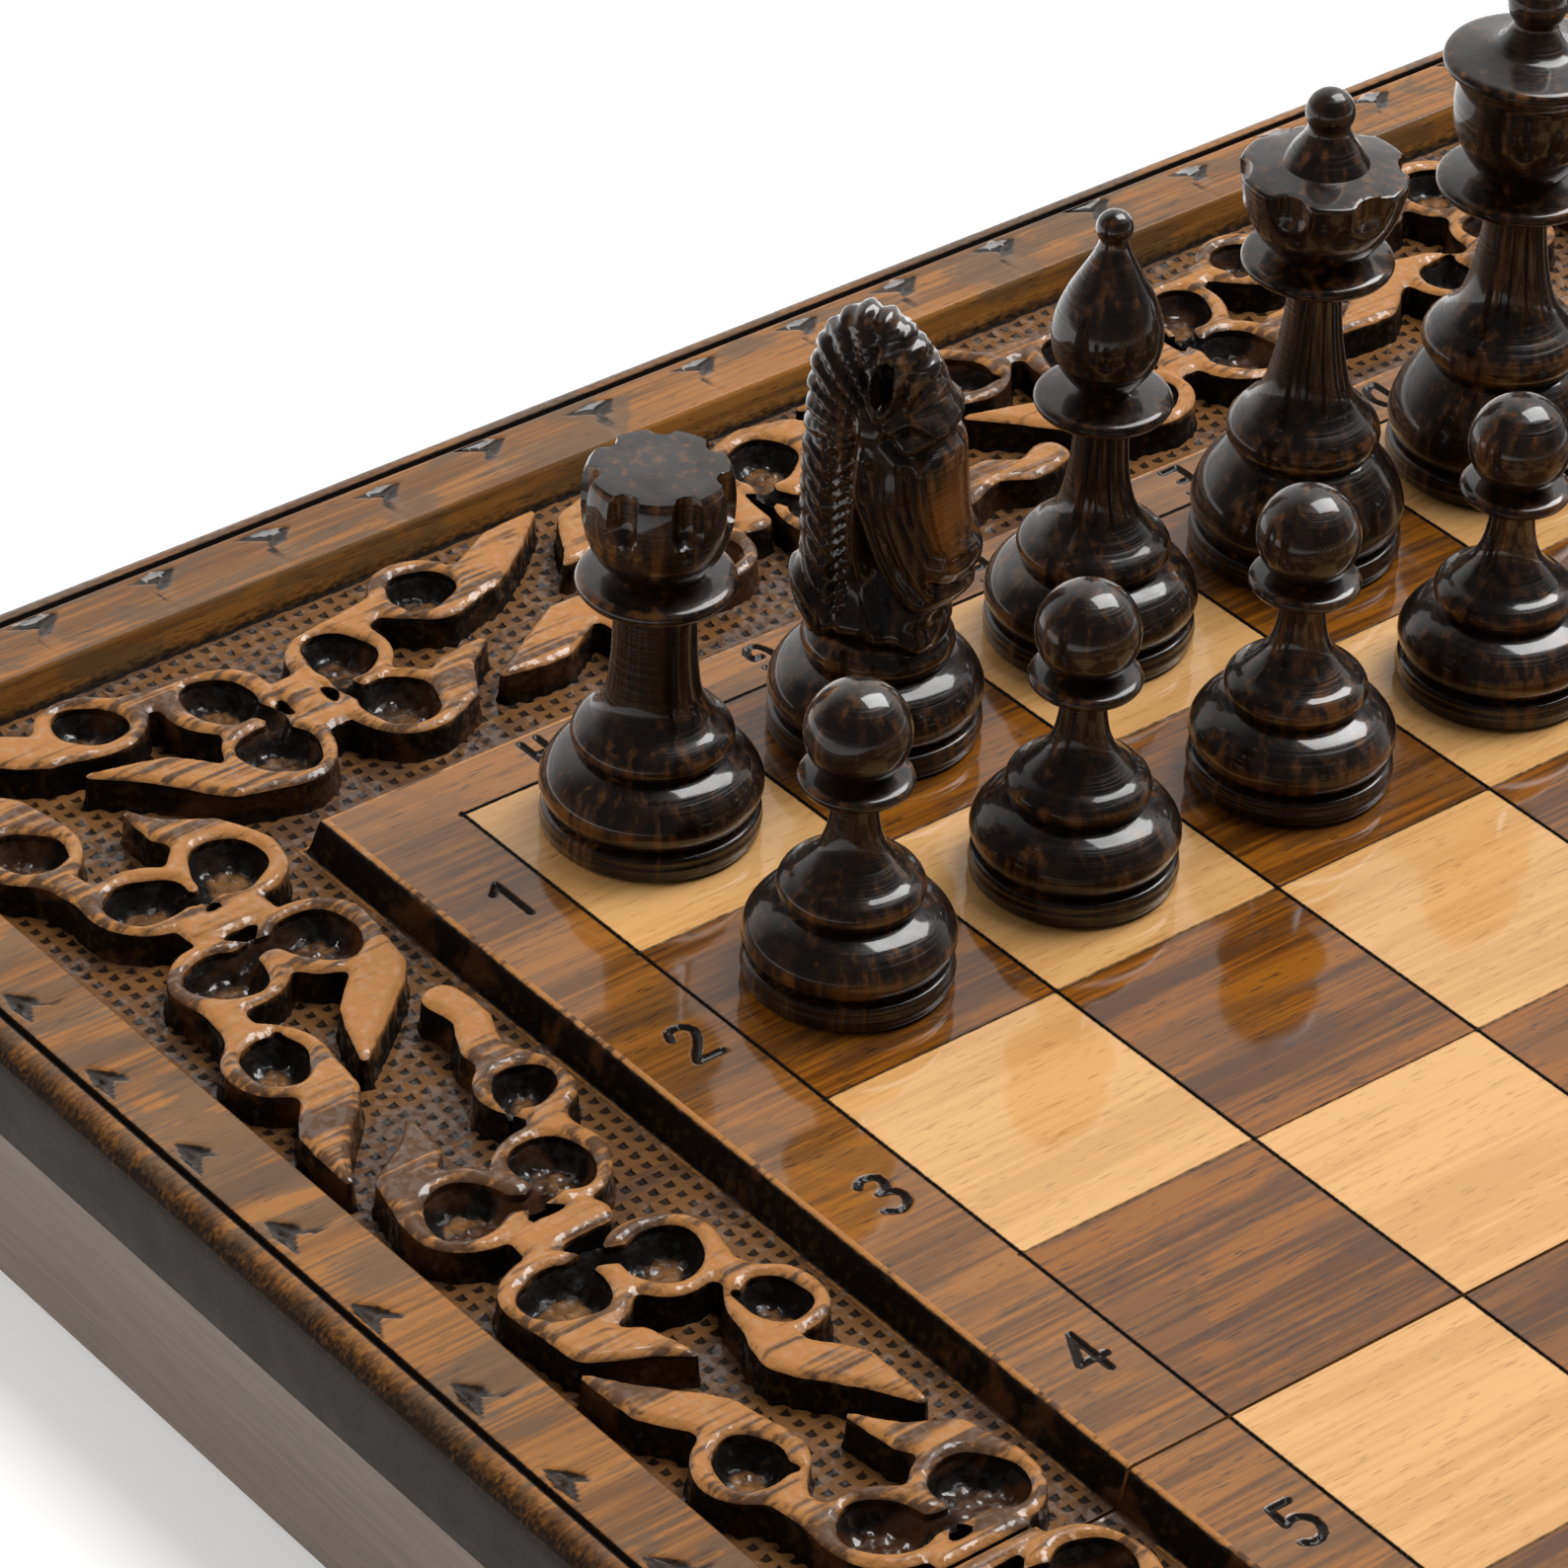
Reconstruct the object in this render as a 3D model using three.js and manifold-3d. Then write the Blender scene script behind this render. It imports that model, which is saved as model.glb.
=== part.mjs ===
// Folding wooden chess board with a carved border, and its thirty-two pieces.
// Millimetres, +Z up. X runs across the ranks from rank 1 to rank 8, Y runs across the
// files from H to A, and the origin is under the middle of the opened board.

import * as THREE from 'three';
import Module from 'manifold-3d';
import { mergeVertices } from 'three/addons/utils/BufferGeometryUtils.js';

const wasm = await Module();
wasm.setup();

// ---- Playing panel
const SQUARE = 48;              // one square of the board
const SQUARES = 8;              // squares on a side
const MARGIN_X = 13;            // panel beyond rank 1 and rank 8
const MARGIN_Y = 20;            // panel beyond the H and A files

// ---- Carved border
const CHANNEL_X = 64;           // width of the sunk channel along ranks 1 and 8
const CHANNEL_Y = 57;           // width of the sunk channel along the H and A files
const CHANNEL_DEPTH = 7;        // how deep the channel is sunk
const CHANNEL_SLOPE = 1.5;      // how far the channel's outer wall leans
const RIM = 21;                 // flat rim outside the channel
const EDGE_ROUND = 5;           // radius of the rounded outer edge
const EDGE_STEPS = 4;           // facets of the rounded edge
const GROOVE_IN = 5.5;          // groove's distance from the outer edge
const GROOVE_WIDTH = 1.2;
const GROOVE_DEPTH = 1.2;
const MOTIF_STEP = 2;           // squares from one carved motif to the next
const MOTIF_HEIGHT = CHANNEL_DEPTH - 0.4;
const MOTIF_SINK = 0.5;         // how far a motif's foot reaches into the channel floor

// ---- Boxes under the two halves
const TOP_THICK = 18;           // carved top board
const WALL_HEIGHT = 30;         // walls under the top board
const WALL = 12;                // thickness of a wall
const WALL_INSET = 1.5;         // walls stand back under the rounded edge
const SEAM_GAP = 0.6;           // gap between the two halves at the fold

// ---- Butt hinges under the fold
const HINGE_AT_Y = 190;         // hinge centres are this far from the middle
const HINGE_LENGTH = 40;
const BARREL_R = 2;             // outside of a knuckle
const PIN_R = 0.9;
const PIN_PLAY = 0.3;           // radial play of the pin
const LEAF_WIDTH = 10;          // from the pin's centre to the leaf's outer edge
const LEAF_THICK = 1.2;
const KNUCKLES = 3;             // one on the light half's leaf between two on the dark half's
const KNUCKLE_GAP = 0.4;
const CLOSED_GAP = 0.3;         // gap between the two rims when the box is shut
const RECESS_PLAY = 0.4;        // wood cleared around the barrel and the leaves
const SCREW_SPACING = 24;
const SCREW_HEAD_R = 2.1;
const SCREW_SHANK_R = 1.1;
const SCREW_LENGTH = 9;
const SCREW_PLAY = 0.25;
const SCREW_RIM = 0.2;          // straight rim of a countersunk head
const SCREW_TIP = 2;            // length of the point
const BARREL_SIDES = 16;
const SCREW_SIDES = 10;

// ---- Pieces
const PIECE_GAP = 0.3;          // air under a standing piece
const BACK_ROW_SHIFT = 4;       // back-row pieces stand this far towards the board's edge
const KNIGHT_TURN = 33;         // degrees a dark knight looks from rank 8 towards file A
const OFFICER_SIDES = 10;         // facets round a back-row piece
const PAWN_SIDES = 8;            // facets round a pawn
const BALL_STEPS = 4;           // facets from a ball's neck to its top
const HORSE_THICK = 15;         // the horse's head from cheek to cheek

// ---- Worked out from the sizes above
const GRID_HALF = (SQUARE * SQUARES) / 2;
const PANEL_X = GRID_HALF + MARGIN_X;
const PANEL_Y = GRID_HALF + MARGIN_Y;
const RIM_IN_X = PANEL_X + CHANNEL_X;
const RIM_IN_Y = PANEL_Y + CHANNEL_Y;
const OUT_X = RIM_IN_X + RIM;
const OUT_Y = RIM_IN_Y + RIM;
const FEET_Z = BARREL_R + CLOSED_GAP / 2;        // underside of the walls
const PIN_Z = FEET_Z - CLOSED_GAP / 2;
const WALL_TOP_Z = FEET_Z + WALL_HEIGHT;
const TOP_Z = WALL_TOP_Z + TOP_THICK;
const FLOOR_Z = TOP_Z - CHANNEL_DEPTH;
const WALL_OUT_X = OUT_X - WALL_INSET;
const WALL_OUT_Y = OUT_Y - WALL_INSET;
const SEAM_X = SEAM_GAP / 2;
const SCREW_X = (BARREL_R + LEAF_WIDTH) / 2 + 0.5;
const CUT = 1;                  // how far a cutting solid runs past what it cuts

// ---- Finishes
function finish(color, roughness, metalness = 0) {
  return new THREE.MeshStandardMaterial({ color, roughness, metalness });
}
const CARVED_OAK = finish(0x9a6b42, 0.45);
const STAINED_WALL = finish(0x4a362a, 0.5);
const DARK_WOOD = finish(0x24160f, 0.3);
const LIGHT_WOOD = finish(0xc08a4e, 0.3);
const BRASS = finish(0xb08d46, 0.35, 1);

// ---- Solids

/** Position-only, welded geometry, as the boolean library wants it. */
function welded(geometry) {
  const bare = geometry.index ? geometry.clone() : geometry;
  bare.deleteAttribute('normal');
  bare.deleteAttribute('uv');
  return mergeVertices(bare, 1e-4);
}

function solid(geometry) {
  const g = welded(geometry);
  const vertProperties = new Float32Array(g.attributes.position.array);
  const triVerts = new Uint32Array(g.index.array);
  return new wasm.Manifold(new wasm.Mesh({ numProp: 3, vertProperties, triVerts }));
}

function geometryOf(manifold) {
  const mesh = manifold.getMesh();
  const g = new THREE.BufferGeometry();
  g.setAttribute('position', new THREE.BufferAttribute(new Float32Array(mesh.vertProperties), 3));
  g.setIndex(new THREE.BufferAttribute(new Uint32Array(mesh.triVerts), 1));
  g.computeVertexNormals();
  return g;
}

/** Box between two corners. */
function box(x0, y0, z0, x1, y1, z1) {
  const g = new THREE.BoxGeometry(x1 - x0, y1 - y0, z1 - z0);
  g.translate((x0 + x1) / 2, (y0 + y1) / 2, (z0 + z1) / 2);
  return g;
}

/** Cylinder along the hinge line. */
function rod(radius, y0, y1) {
  const g = new THREE.CylinderGeometry(radius, radius, y1 - y0, BARREL_SIDES);
  return g.translate(0, (y0 + y1) / 2, PIN_Z);
}

/** Flat outline in X and Y, raised from z0 to z1. */
function plate(points, z0, z1) {
  const shape = new THREE.Shape(points.map(([x, y]) => new THREE.Vector2(x, y)));
  const g = new THREE.ExtrudeGeometry(shape, { depth: z1 - z0, bevelEnabled: false });
  g.translate(0, 0, z0);
  return g;
}

/** Turned solid from [radius, height] points, closed on the axis at both ends. */
function turned(points, sides) {
  const profile = [[0, points[0][1]], ...points, [0, points[points.length - 1][1]]];
  const outline = profile.map(([r, z]) => new THREE.Vector2(r, z));
  return new THREE.LatheGeometry(outline, sides).rotateX(Math.PI / 2);
}

/** Adds one named mesh to a group. */
function add(group, name, geometry, material) {
  const mesh = new THREE.Mesh(geometry, material);
  mesh.name = name;
  group.add(mesh);
  return mesh;
}

// ---- Carved top boards

/**
 * Half of a carved motif, from its middle outwards: [along, across]. Along counts half
 * steps between motifs, across counts half widths of the channel, positive inwards.
 */
const MOTIF_HALF = [
  [0, 0.2], [0.12, 0.6], [0.3, 0.7], [0.46, 0.5], [0.6, 0.2], [0.86, -0.06],
  [0.5, -0.16], [0.72, -0.24], [0.9, -0.44], [1.3, -0.72], [0.98, -0.84], [0.62, -0.84],
  [0.3, -0.66], [0.1, -0.36], [0, -0.24],
];

/** Whole outline of a motif in millimetres: two curls inside, two arms outside, or flipped. */
function motifOutline(channelWidth, flip) {
  const along = (SQUARE * MOTIF_STEP) / 2;
  const across = (channelWidth / 2) * flip;
  const right = MOTIF_HALF.map(([s, t]) => [s * along, t * across]);
  const left = right.slice(1, -1).reverse().map(([s, t]) => [-s, t]);
  const outline = [...right, ...left];
  return flip > 0 ? outline.reverse() : outline;
}

/** Every carved motif on one half: side = -1 is the dark half, +1 the light half. */
function motifs(side) {
  const list = [];
  const midX = PANEL_X + CHANNEL_X / 2;
  const midY = PANEL_Y + CHANNEL_Y / 2;
  const z0 = FLOOR_Z - MOTIF_SINK;
  const z1 = FLOOR_Z + MOTIF_HEIGHT;
  const count = SQUARES / MOTIF_STEP;
  for (let k = 0; k <= count; k += 1) {
    const along = (k * MOTIF_STEP - SQUARES / 2) * SQUARE;
    const flip = k % 2 === 0 ? 1 : -1;
    const end = plate(motifOutline(CHANNEL_X, flip), z0, z1);
    list.push(end.rotateZ((Math.PI / 2) * side).translate(midX * side, along, 0));
    for (const edge of [-1, 1]) {
      const long = plate(motifOutline(CHANNEL_Y, flip), z0, z1);
      list.push(long.rotateZ(edge > 0 ? Math.PI : 0).translate(along, midY * edge, 0));
    }
  }
  return list;
}

/** Channel round the panel, its outer wall leaning outwards. */
function channelCut(side) {
  const outline = (x, y) => [[0, -y], [side * x, -y], [side * x, y], [0, y]];
  const floor = outline(RIM_IN_X - CHANNEL_SLOPE, RIM_IN_Y - CHANNEL_SLOPE);
  const top = outline(RIM_IN_X, RIM_IN_Y);
  const sloped = solid(frustum(floor, FLOOR_Z, top, TOP_Z));
  const above = solid(frustum(top, TOP_Z, top, TOP_Z + CUT));
  const panel = box(-PANEL_X, -PANEL_Y, FLOOR_Z - CUT, PANEL_X, PANEL_Y, TOP_Z + 2 * CUT);
  return sloped.add(above).subtract(solid(panel));
}

/** Solid between two outlines of four corners at two heights. */
function frustum(low, z0, high, z1) {
  const corners = [...low.map(([x, y]) => [x, y, z0]), ...high.map(([x, y]) => [x, y, z1])];
  const quads = [[3, 2, 1, 0], [4, 5, 6, 7], [0, 1, 5, 4], [1, 2, 6, 5], [2, 3, 7, 6], [3, 0, 4, 7]];
  const index = quads.flatMap(([a, b, c, d]) => [a, b, c, a, c, d]);
  const area = low.reduce((sum, [x, y], i) => {
    const [u, v] = low[(i + 1) % low.length];
    return sum + x * v - u * y;
  }, 0);
  const g = new THREE.BufferGeometry();
  g.setAttribute('position', new THREE.BufferAttribute(new Float32Array(corners.flat()), 3));
  g.setIndex(area > 0 ? index : index.reverse());
  return g;
}

/** Blank board with its outer edge rounded over: stacked frustums, one for each facet. */
function roundedBlank(side) {
  const outline = (inset) => [
    [side * SEAM_X, -OUT_Y + inset], [side * (OUT_X - inset), -OUT_Y + inset],
    [side * (OUT_X - inset), OUT_Y - inset], [side * SEAM_X, OUT_Y - inset],
  ];
  let blank = solid(frustum(outline(0), WALL_TOP_Z, outline(0), TOP_Z - EDGE_ROUND));
  for (let i = 0; i < EDGE_STEPS; i += 1) {
    const at = (step) => {
      const angle = (step / EDGE_STEPS) * (Math.PI / 2);
      return [EDGE_ROUND * (1 - Math.cos(angle)), TOP_Z - EDGE_ROUND * (1 - Math.sin(angle))];
    };
    const [inset0, z0] = at(i);
    const [inset1, z1] = at(i + 1);
    blank = blank.add(solid(frustum(outline(inset0), z0, outline(inset1), z1)));
  }
  return blank;
}

/** Saw groove round the rim, just inside the rounded edge. */
function rimGroove(side) {
  const near = Math.min(0, side * (OUT_X - GROOVE_IN));
  const far = Math.max(0, side * (OUT_X - GROOVE_IN));
  const z0 = TOP_Z - GROOVE_DEPTH;
  const z1 = TOP_Z + CUT;
  const outer = box(near, -OUT_Y + GROOVE_IN, z0, far, OUT_Y - GROOVE_IN, z1);
  const inset = GROOVE_IN + GROOVE_WIDTH;
  const nearIn = Math.min(-CUT, side * (OUT_X - inset));
  const farIn = Math.max(CUT, side * (OUT_X - inset));
  const inner = box(nearIn, -OUT_Y + inset, z0 - CUT, farIn, OUT_Y - inset, z1 + CUT);
  return solid(outer).subtract(solid(inner));
}

function topBoard(side) {
  const low = Math.min(side * SEAM_X, side * OUT_X);
  const high = Math.max(side * SEAM_X, side * OUT_X);
  const room = solid(box(low, -OUT_Y, FEET_Z, high, OUT_Y, TOP_Z + CUT));
  let board = roundedBlank(side).subtract(channelCut(side));
  for (const motif of motifs(side)) {
    board = board.add(solid(motif).intersect(room));
  }
  return geometryOf(board.subtract(rimGroove(side)));
}

// ---- Walls

/** Box between side * x0 and side * x1, whichever way round they fall. */
function sideBox(side, x0, x1, y0, y1, z0, z1) {
  const [low, high] = side > 0 ? [x0, x1] : [-x1, -x0];
  return box(low, y0, z0, high, y1, z1);
}

function endWall(side) {
  return sideBox(side, WALL_OUT_X - WALL, WALL_OUT_X, -WALL_OUT_Y, WALL_OUT_Y, FEET_Z, WALL_TOP_Z);
}

function longWall(side, edge) {
  const y0 = Math.min(edge * WALL_OUT_Y, edge * (WALL_OUT_Y - WALL));
  const y1 = Math.max(edge * WALL_OUT_Y, edge * (WALL_OUT_Y - WALL));
  return sideBox(side, SEAM_X, WALL_OUT_X - WALL, y0, y1, FEET_Z, WALL_TOP_Z);
}

/** Seam wall, recessed under each hinge and drilled for its screws. */
function seamWall(side) {
  const length = WALL_OUT_Y - WALL;
  let wall = solid(sideBox(side, SEAM_X, SEAM_X + WALL, -length, length, FEET_Z, WALL_TOP_Z));
  const half = HINGE_LENGTH / 2 + RECESS_PLAY;
  const barrel = BARREL_R + RECESS_PLAY;
  const leaf = LEAF_THICK + RECESS_PLAY;
  for (const y of [-HINGE_AT_Y, HINGE_AT_Y]) {
    wall = wall.subtract(solid(sideBox(side, 0, barrel, y - half, y + half, FEET_Z - CUT, FEET_Z + barrel)));
    wall = wall.subtract(solid(sideBox(side, 0, LEAF_WIDTH + RECESS_PLAY, y - half, y + half,
      FEET_Z - CUT, FEET_Z + leaf)));
    for (const screwY of [y - SCREW_SPACING / 2, y + SCREW_SPACING / 2]) {
      wall = wall.subtract(solid(screwHole(side, screwY)));
    }
  }
  return geometryOf(wall);
}

// ---- Hinges

/** Pilot hole for a screw, a little longer and wider than the screw's shank. */
function screwHole(side, y) {
  const r = SCREW_SHANK_R + SCREW_PLAY;
  const g = turned([[r, FEET_Z - CUT], [r, FEET_Z + SCREW_LENGTH + CUT]], SCREW_SIDES);
  return g.translate(side * SCREW_X, y, 0);
}

/** Countersunk screw, its head flush with the leaf's lower face. */
function screw(side, y) {
  const r = SCREW_SHANK_R;
  const z = FEET_Z;
  const points = [[SCREW_HEAD_R, z], [SCREW_HEAD_R, z + SCREW_RIM], [r, z + SCREW_RIM + SCREW_HEAD_R - r],
    [r, z + SCREW_LENGTH - SCREW_TIP], [r / 4, z + SCREW_LENGTH]];
  return turned(points, SCREW_SIDES).translate(side * SCREW_X, y, 0);
}

/** Countersink in a leaf, wider than the screw's head all the way up. */
function countersink(side, y) {
  const r = SCREW_SHANK_R + SCREW_PLAY;
  const head = SCREW_HEAD_R + SCREW_PLAY;
  const z = FEET_Z;
  const neck = z + SCREW_RIM + head - r;
  const points = [[head, z - CUT], [head, z + SCREW_RIM], [r, neck], [r, z + SCREW_LENGTH]];
  return turned(points, SCREW_SIDES).translate(side * SCREW_X, y, 0);
}

/** Lengths of the barrel that belong to a leaf: the middle one is the light half's. */
function knuckleSpans(side, y) {
  const length = HINGE_LENGTH / KNUCKLES;
  const spans = [];
  for (let k = 0; k < KNUCKLES; k += 1) {
    const owner = k % 2 === 0 ? -1 : 1;
    if (owner === side) {
      const y0 = y - HINGE_LENGTH / 2 + k * length;
      const from = k === 0 ? y0 : y0 + KNUCKLE_GAP / 2;
      const to = k === KNUCKLES - 1 ? y0 + length : y0 + length - KNUCKLE_GAP / 2;
      spans.push([from, to]);
    }
  }
  return spans;
}

function hingeLeaf(side, y) {
  const half = HINGE_LENGTH / 2;
  const start = BARREL_R + KNUCKLE_GAP;
  let leaf = solid(sideBox(side, start, LEAF_WIDTH, y - half, y + half, FEET_Z, FEET_Z + LEAF_THICK));
  for (const [y0, y1] of knuckleSpans(side, y)) {
    leaf = leaf.add(solid(rod(BARREL_R, y0, y1)));
    leaf = leaf.add(solid(sideBox(side, BARREL_R / 2, start + 1, y0, y1, FEET_Z, FEET_Z + LEAF_THICK)));
  }
  leaf = leaf.subtract(solid(rod(PIN_R + PIN_PLAY, y - half - CUT, y + half + CUT)));
  for (const screwY of [y - SCREW_SPACING / 2, y + SCREW_SPACING / 2]) {
    leaf = leaf.subtract(solid(countersink(side, screwY)));
  }
  return geometryOf(leaf);
}

function hingePin(y) {
  return rod(PIN_R, y - HINGE_LENGTH / 2, y + HINGE_LENGTH / 2);
}

// ---- Turned pieces: profiles in millimetres above the board, [radius, height]

/** Ball on a neck: points from the neck's radius round to just under the top. */
function ball(centre, radius, neck) {
  const start = Math.asin(Math.min(neck / radius, 1));
  const points = [];
  for (let i = 0; i < BALL_STEPS; i += 1) {
    const angle = start + ((Math.PI - start) * i) / BALL_STEPS;
    points.push([radius * Math.sin(angle), centre - radius * Math.cos(angle)]);
  }
  points.push([radius / 16, centre + radius]);
  return points;
}

const PAWN = [
  [17.4, 0], [17.5, 5], [17.3, 9.6], [14.6, 14], [11, 15.2], [12.1, 19], [8.6, 22.4],
  [4.6, 26], [3.8, 36.6], [9.6, 37.8], [9.6, 39.4], [4.4, 40.8], ...ball(47.3, 8.8, 4.4),
];
const ROOK = [
  [18.4, 0], [18.6, 5], [18.6, 9.8], [16, 14.4], [12.4, 15.8], [13.6, 18.8], [10.6, 22.4],
  [8, 24.4], [7, 46], [13.2, 47.4], [13.2, 49], [7.4, 50.6], [11.2, 59], [12.5, 66], [11.6, 69.6],
];
const BISHOP = [
  [18.4, 0], [18.5, 5], [18.4, 9.6], [15.8, 14.4], [12, 15.8], [13.3, 18.8], [10.4, 22.4],
  [7.4, 24.4], [4.8, 45], [11.8, 46.6], [11.8, 48.2], [4.6, 50.2], [9, 56], [9.4, 63],
  [3, 77.6], ...ball(81, 3.2, 2.6),
];
const QUEEN = [
  [18.7, 0], [18.8, 5], [18.8, 10.6], [15.4, 18], [12.4, 20.8], [13.5, 24.6], [10, 28.8],
  [7.2, 32.4], [4.7, 55.6], [13.2, 57.2], [13.2, 58.8], [7.2, 60.6], [11.6, 67],
  [14.7, 76], [7, 77.6], [3.8, 83.8], ...ball(87.2, 4.3, 3.4),
];
const KING = [
  [19.2, 0], [19.3, 5], [19.2, 10.6], [15.8, 18], [12.8, 21.2], [14.6, 25.6], [10.6, 30],
  [7.4, 34], [5.2, 54.6], [14.6, 56.2], [14.6, 57.8], [7.6, 59.6], [12.4, 68],
  [12.8, 78], [15.4, 80.6], [15.4, 82.2], [6.4, 84.6], [3.8, 89], ...ball(93, 5.3, 3.8),
];
const KNIGHT_FOOT = [
  [18.3, 0], [18.4, 5], [18.3, 9.6], [15.8, 14.4], [12, 15.8], [13, 18.8], [11.4, 22.6], [9, 24.4],
];

/** Side view of the horse's head: [forward, height]. It faces +X. */
const HORSE = [
  [-8, 22], [-11.4, 24.5], [-14.2, 30], [-13.8, 46], [-13.4, 60], [-12, 73], [-8, 79.8], [-3, 81.8],
  [3, 78.6], [8, 73], [12, 64], [13.6, 56], [14.4, 46], [16.4, 39.4], [15.2, 32], [11.4, 27.2],
  [10.4, 24.5], [8.4, 22],
];

function knight() {
  const foot = solid(turned(KNIGHT_FOOT, OFFICER_SIDES));
  const head = plate(HORSE, -HORSE_THICK / 2, HORSE_THICK / 2).rotateX(Math.PI / 2);
  return geometryOf(foot.add(solid(head)));
}

const KINDS = {
  pawn: turned(PAWN, PAWN_SIDES),
  rook: turned(ROOK, OFFICER_SIDES),
  bishop: turned(BISHOP, OFFICER_SIDES),
  queen: turned(QUEEN, OFFICER_SIDES),
  king: turned(KING, OFFICER_SIDES),
  knight: knight(),
};
const FILES = ['h', 'g', 'f', 'e', 'd', 'c', 'b', 'a'];
const BACK_ROW = ['rook', 'knight', 'bishop', 'queen', 'king', 'bishop', 'knight', 'rook'];

/** Stands one piece on its square; rank and file count from 0 at the H1 corner. */
function stand(group, kind, name, rank, file, side) {
  const geometry = welded(KINDS[kind].clone());
  geometry.computeVertexNormals();
  const mesh = add(group, name, geometry, side < 0 ? DARK_WOOD : LIGHT_WOOD);
  const shift = kind === 'pawn' ? 0 : side * BACK_ROW_SHIFT;
  const x = (rank + 0.5 - SQUARES / 2) * SQUARE + shift;
  const y = (file + 0.5 - SQUARES / 2) * SQUARE;
  mesh.position.set(x, y, TOP_Z + PIECE_GAP);
  if (kind === 'knight') {
    mesh.rotation.z = THREE.MathUtils.degToRad(side < 0 ? KNIGHT_TURN : 180 - KNIGHT_TURN);
  }
}

function standArmy(group, army, side) {
  const backRank = side < 0 ? 0 : SQUARES - 1;
  const pawnRank = side < 0 ? 1 : SQUARES - 2;
  FILES.forEach((letter, file) => {
    const kind = BACK_ROW[file];
    const single = kind === 'king' || kind === 'queen';
    stand(group, kind, single ? `${army}_${kind}` : `${army}_${kind}_${letter}`, backRank, file, side);
    stand(group, 'pawn', `${army}_pawn_${letter}`, pawnRank, file, side);
  });
}

// ---- Assembly
const chessSet = new THREE.Group();
for (const [side, half] of [[-1, 'dark_side'], [1, 'light_side']]) {
  add(chessSet, `${half}_top_board`, topBoard(side), CARVED_OAK);
  add(chessSet, `${half}_end_wall`, endWall(side), STAINED_WALL);
  add(chessSet, `${half}_h_wall`, longWall(side, -1), STAINED_WALL);
  add(chessSet, `${half}_a_wall`, longWall(side, 1), STAINED_WALL);
  add(chessSet, `${half}_seam_wall`, seamWall(side), STAINED_WALL);
  for (const [edge, letter] of [[-1, 'h'], [1, 'a']]) {
    const y = edge * HINGE_AT_Y;
    add(chessSet, `${half}_hinge_leaf_${letter}`, hingeLeaf(side, y), BRASS);
    add(chessSet, `${half}_hinge_screw_${letter}_1`, screw(side, y - SCREW_SPACING / 2), BRASS);
    add(chessSet, `${half}_hinge_screw_${letter}_2`, screw(side, y + SCREW_SPACING / 2), BRASS);
  }
}
add(chessSet, 'hinge_pin_h', hingePin(-HINGE_AT_Y), BRASS);
add(chessSet, 'hinge_pin_a', hingePin(HINGE_AT_Y), BRASS);
standArmy(chessSet, 'dark', -1);
standArmy(chessSet, 'light', 1);

export default chessSet;
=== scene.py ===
"""Folding carved chess board with its 32 turned pieces, dressed for a plain studio.

All shop sizes are in millimetres, and every mesh is written out in metres in the frame's own axes.
"""

import logging
import math
from collections.abc import Callable, Sequence
from dataclasses import dataclass, field
from enum import Enum

import bpy
import numpy as np
from mathutils import Matrix, Vector


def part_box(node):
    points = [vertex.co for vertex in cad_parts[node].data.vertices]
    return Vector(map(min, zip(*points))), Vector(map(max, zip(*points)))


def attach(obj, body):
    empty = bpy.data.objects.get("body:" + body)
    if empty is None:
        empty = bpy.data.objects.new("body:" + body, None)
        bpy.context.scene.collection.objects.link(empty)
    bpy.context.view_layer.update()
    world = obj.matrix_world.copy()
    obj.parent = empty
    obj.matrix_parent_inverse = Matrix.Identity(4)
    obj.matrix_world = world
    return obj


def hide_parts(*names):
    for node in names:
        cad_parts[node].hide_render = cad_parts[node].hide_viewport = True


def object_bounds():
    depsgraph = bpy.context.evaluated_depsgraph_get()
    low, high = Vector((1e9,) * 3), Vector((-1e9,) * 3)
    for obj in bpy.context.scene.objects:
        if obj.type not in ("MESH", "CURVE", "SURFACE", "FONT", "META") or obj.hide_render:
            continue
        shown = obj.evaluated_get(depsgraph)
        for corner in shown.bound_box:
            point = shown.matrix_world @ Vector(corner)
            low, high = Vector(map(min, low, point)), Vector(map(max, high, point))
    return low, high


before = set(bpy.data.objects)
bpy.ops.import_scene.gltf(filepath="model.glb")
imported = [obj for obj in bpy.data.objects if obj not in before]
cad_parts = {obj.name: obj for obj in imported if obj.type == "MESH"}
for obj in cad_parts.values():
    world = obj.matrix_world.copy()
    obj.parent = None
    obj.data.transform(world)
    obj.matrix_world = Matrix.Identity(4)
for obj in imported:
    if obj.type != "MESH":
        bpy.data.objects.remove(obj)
CAD_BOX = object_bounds()

LOG = logging.getLogger("chess_set")
MM = 0.001
SEED = 64
LACQUER_IOR = 1.5
PIT_PITCH = (3.0, 3.3)

Field = Callable[[np.ndarray], np.ndarray]


def smooth(value: np.ndarray, low: float, high: float) -> np.ndarray:
    """Smooth step of value from low to high, 0 to 1."""
    t = np.clip((value - low) / (high - low), 0.0, 1.0)
    return t * t * (3.0 - 2.0 * t)


def spline(stops: Sequence[Sequence[float]], step: float) -> np.ndarray:
    """Runs a smooth curve through points.

    Args:
        stops: the points that it passes, in order.
        step: about how far apart the new points lie.

    Returns:
        The points of the curve, both ends included.
    """
    p = np.asarray(stops, float)
    p = np.vstack([2 * p[0] - p[1], p, 2 * p[-1] - p[-2]])
    out = [p[1][None]]
    for a, b, c, d in zip(p[:-3], p[1:-2], p[2:-1], p[3:]):
        count = max(1, int(round(np.linalg.norm(c - b) / step)))
        t = (np.arange(1, count + 1) / count)[:, None]
        out.append(
            0.5 * (2 * b + (c - a) * t + (2 * a - 5 * b + 4 * c - d) * t**2 + (3 * b - a - 3 * c + d) * t**3)
        )
    return np.vstack(out)


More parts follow.
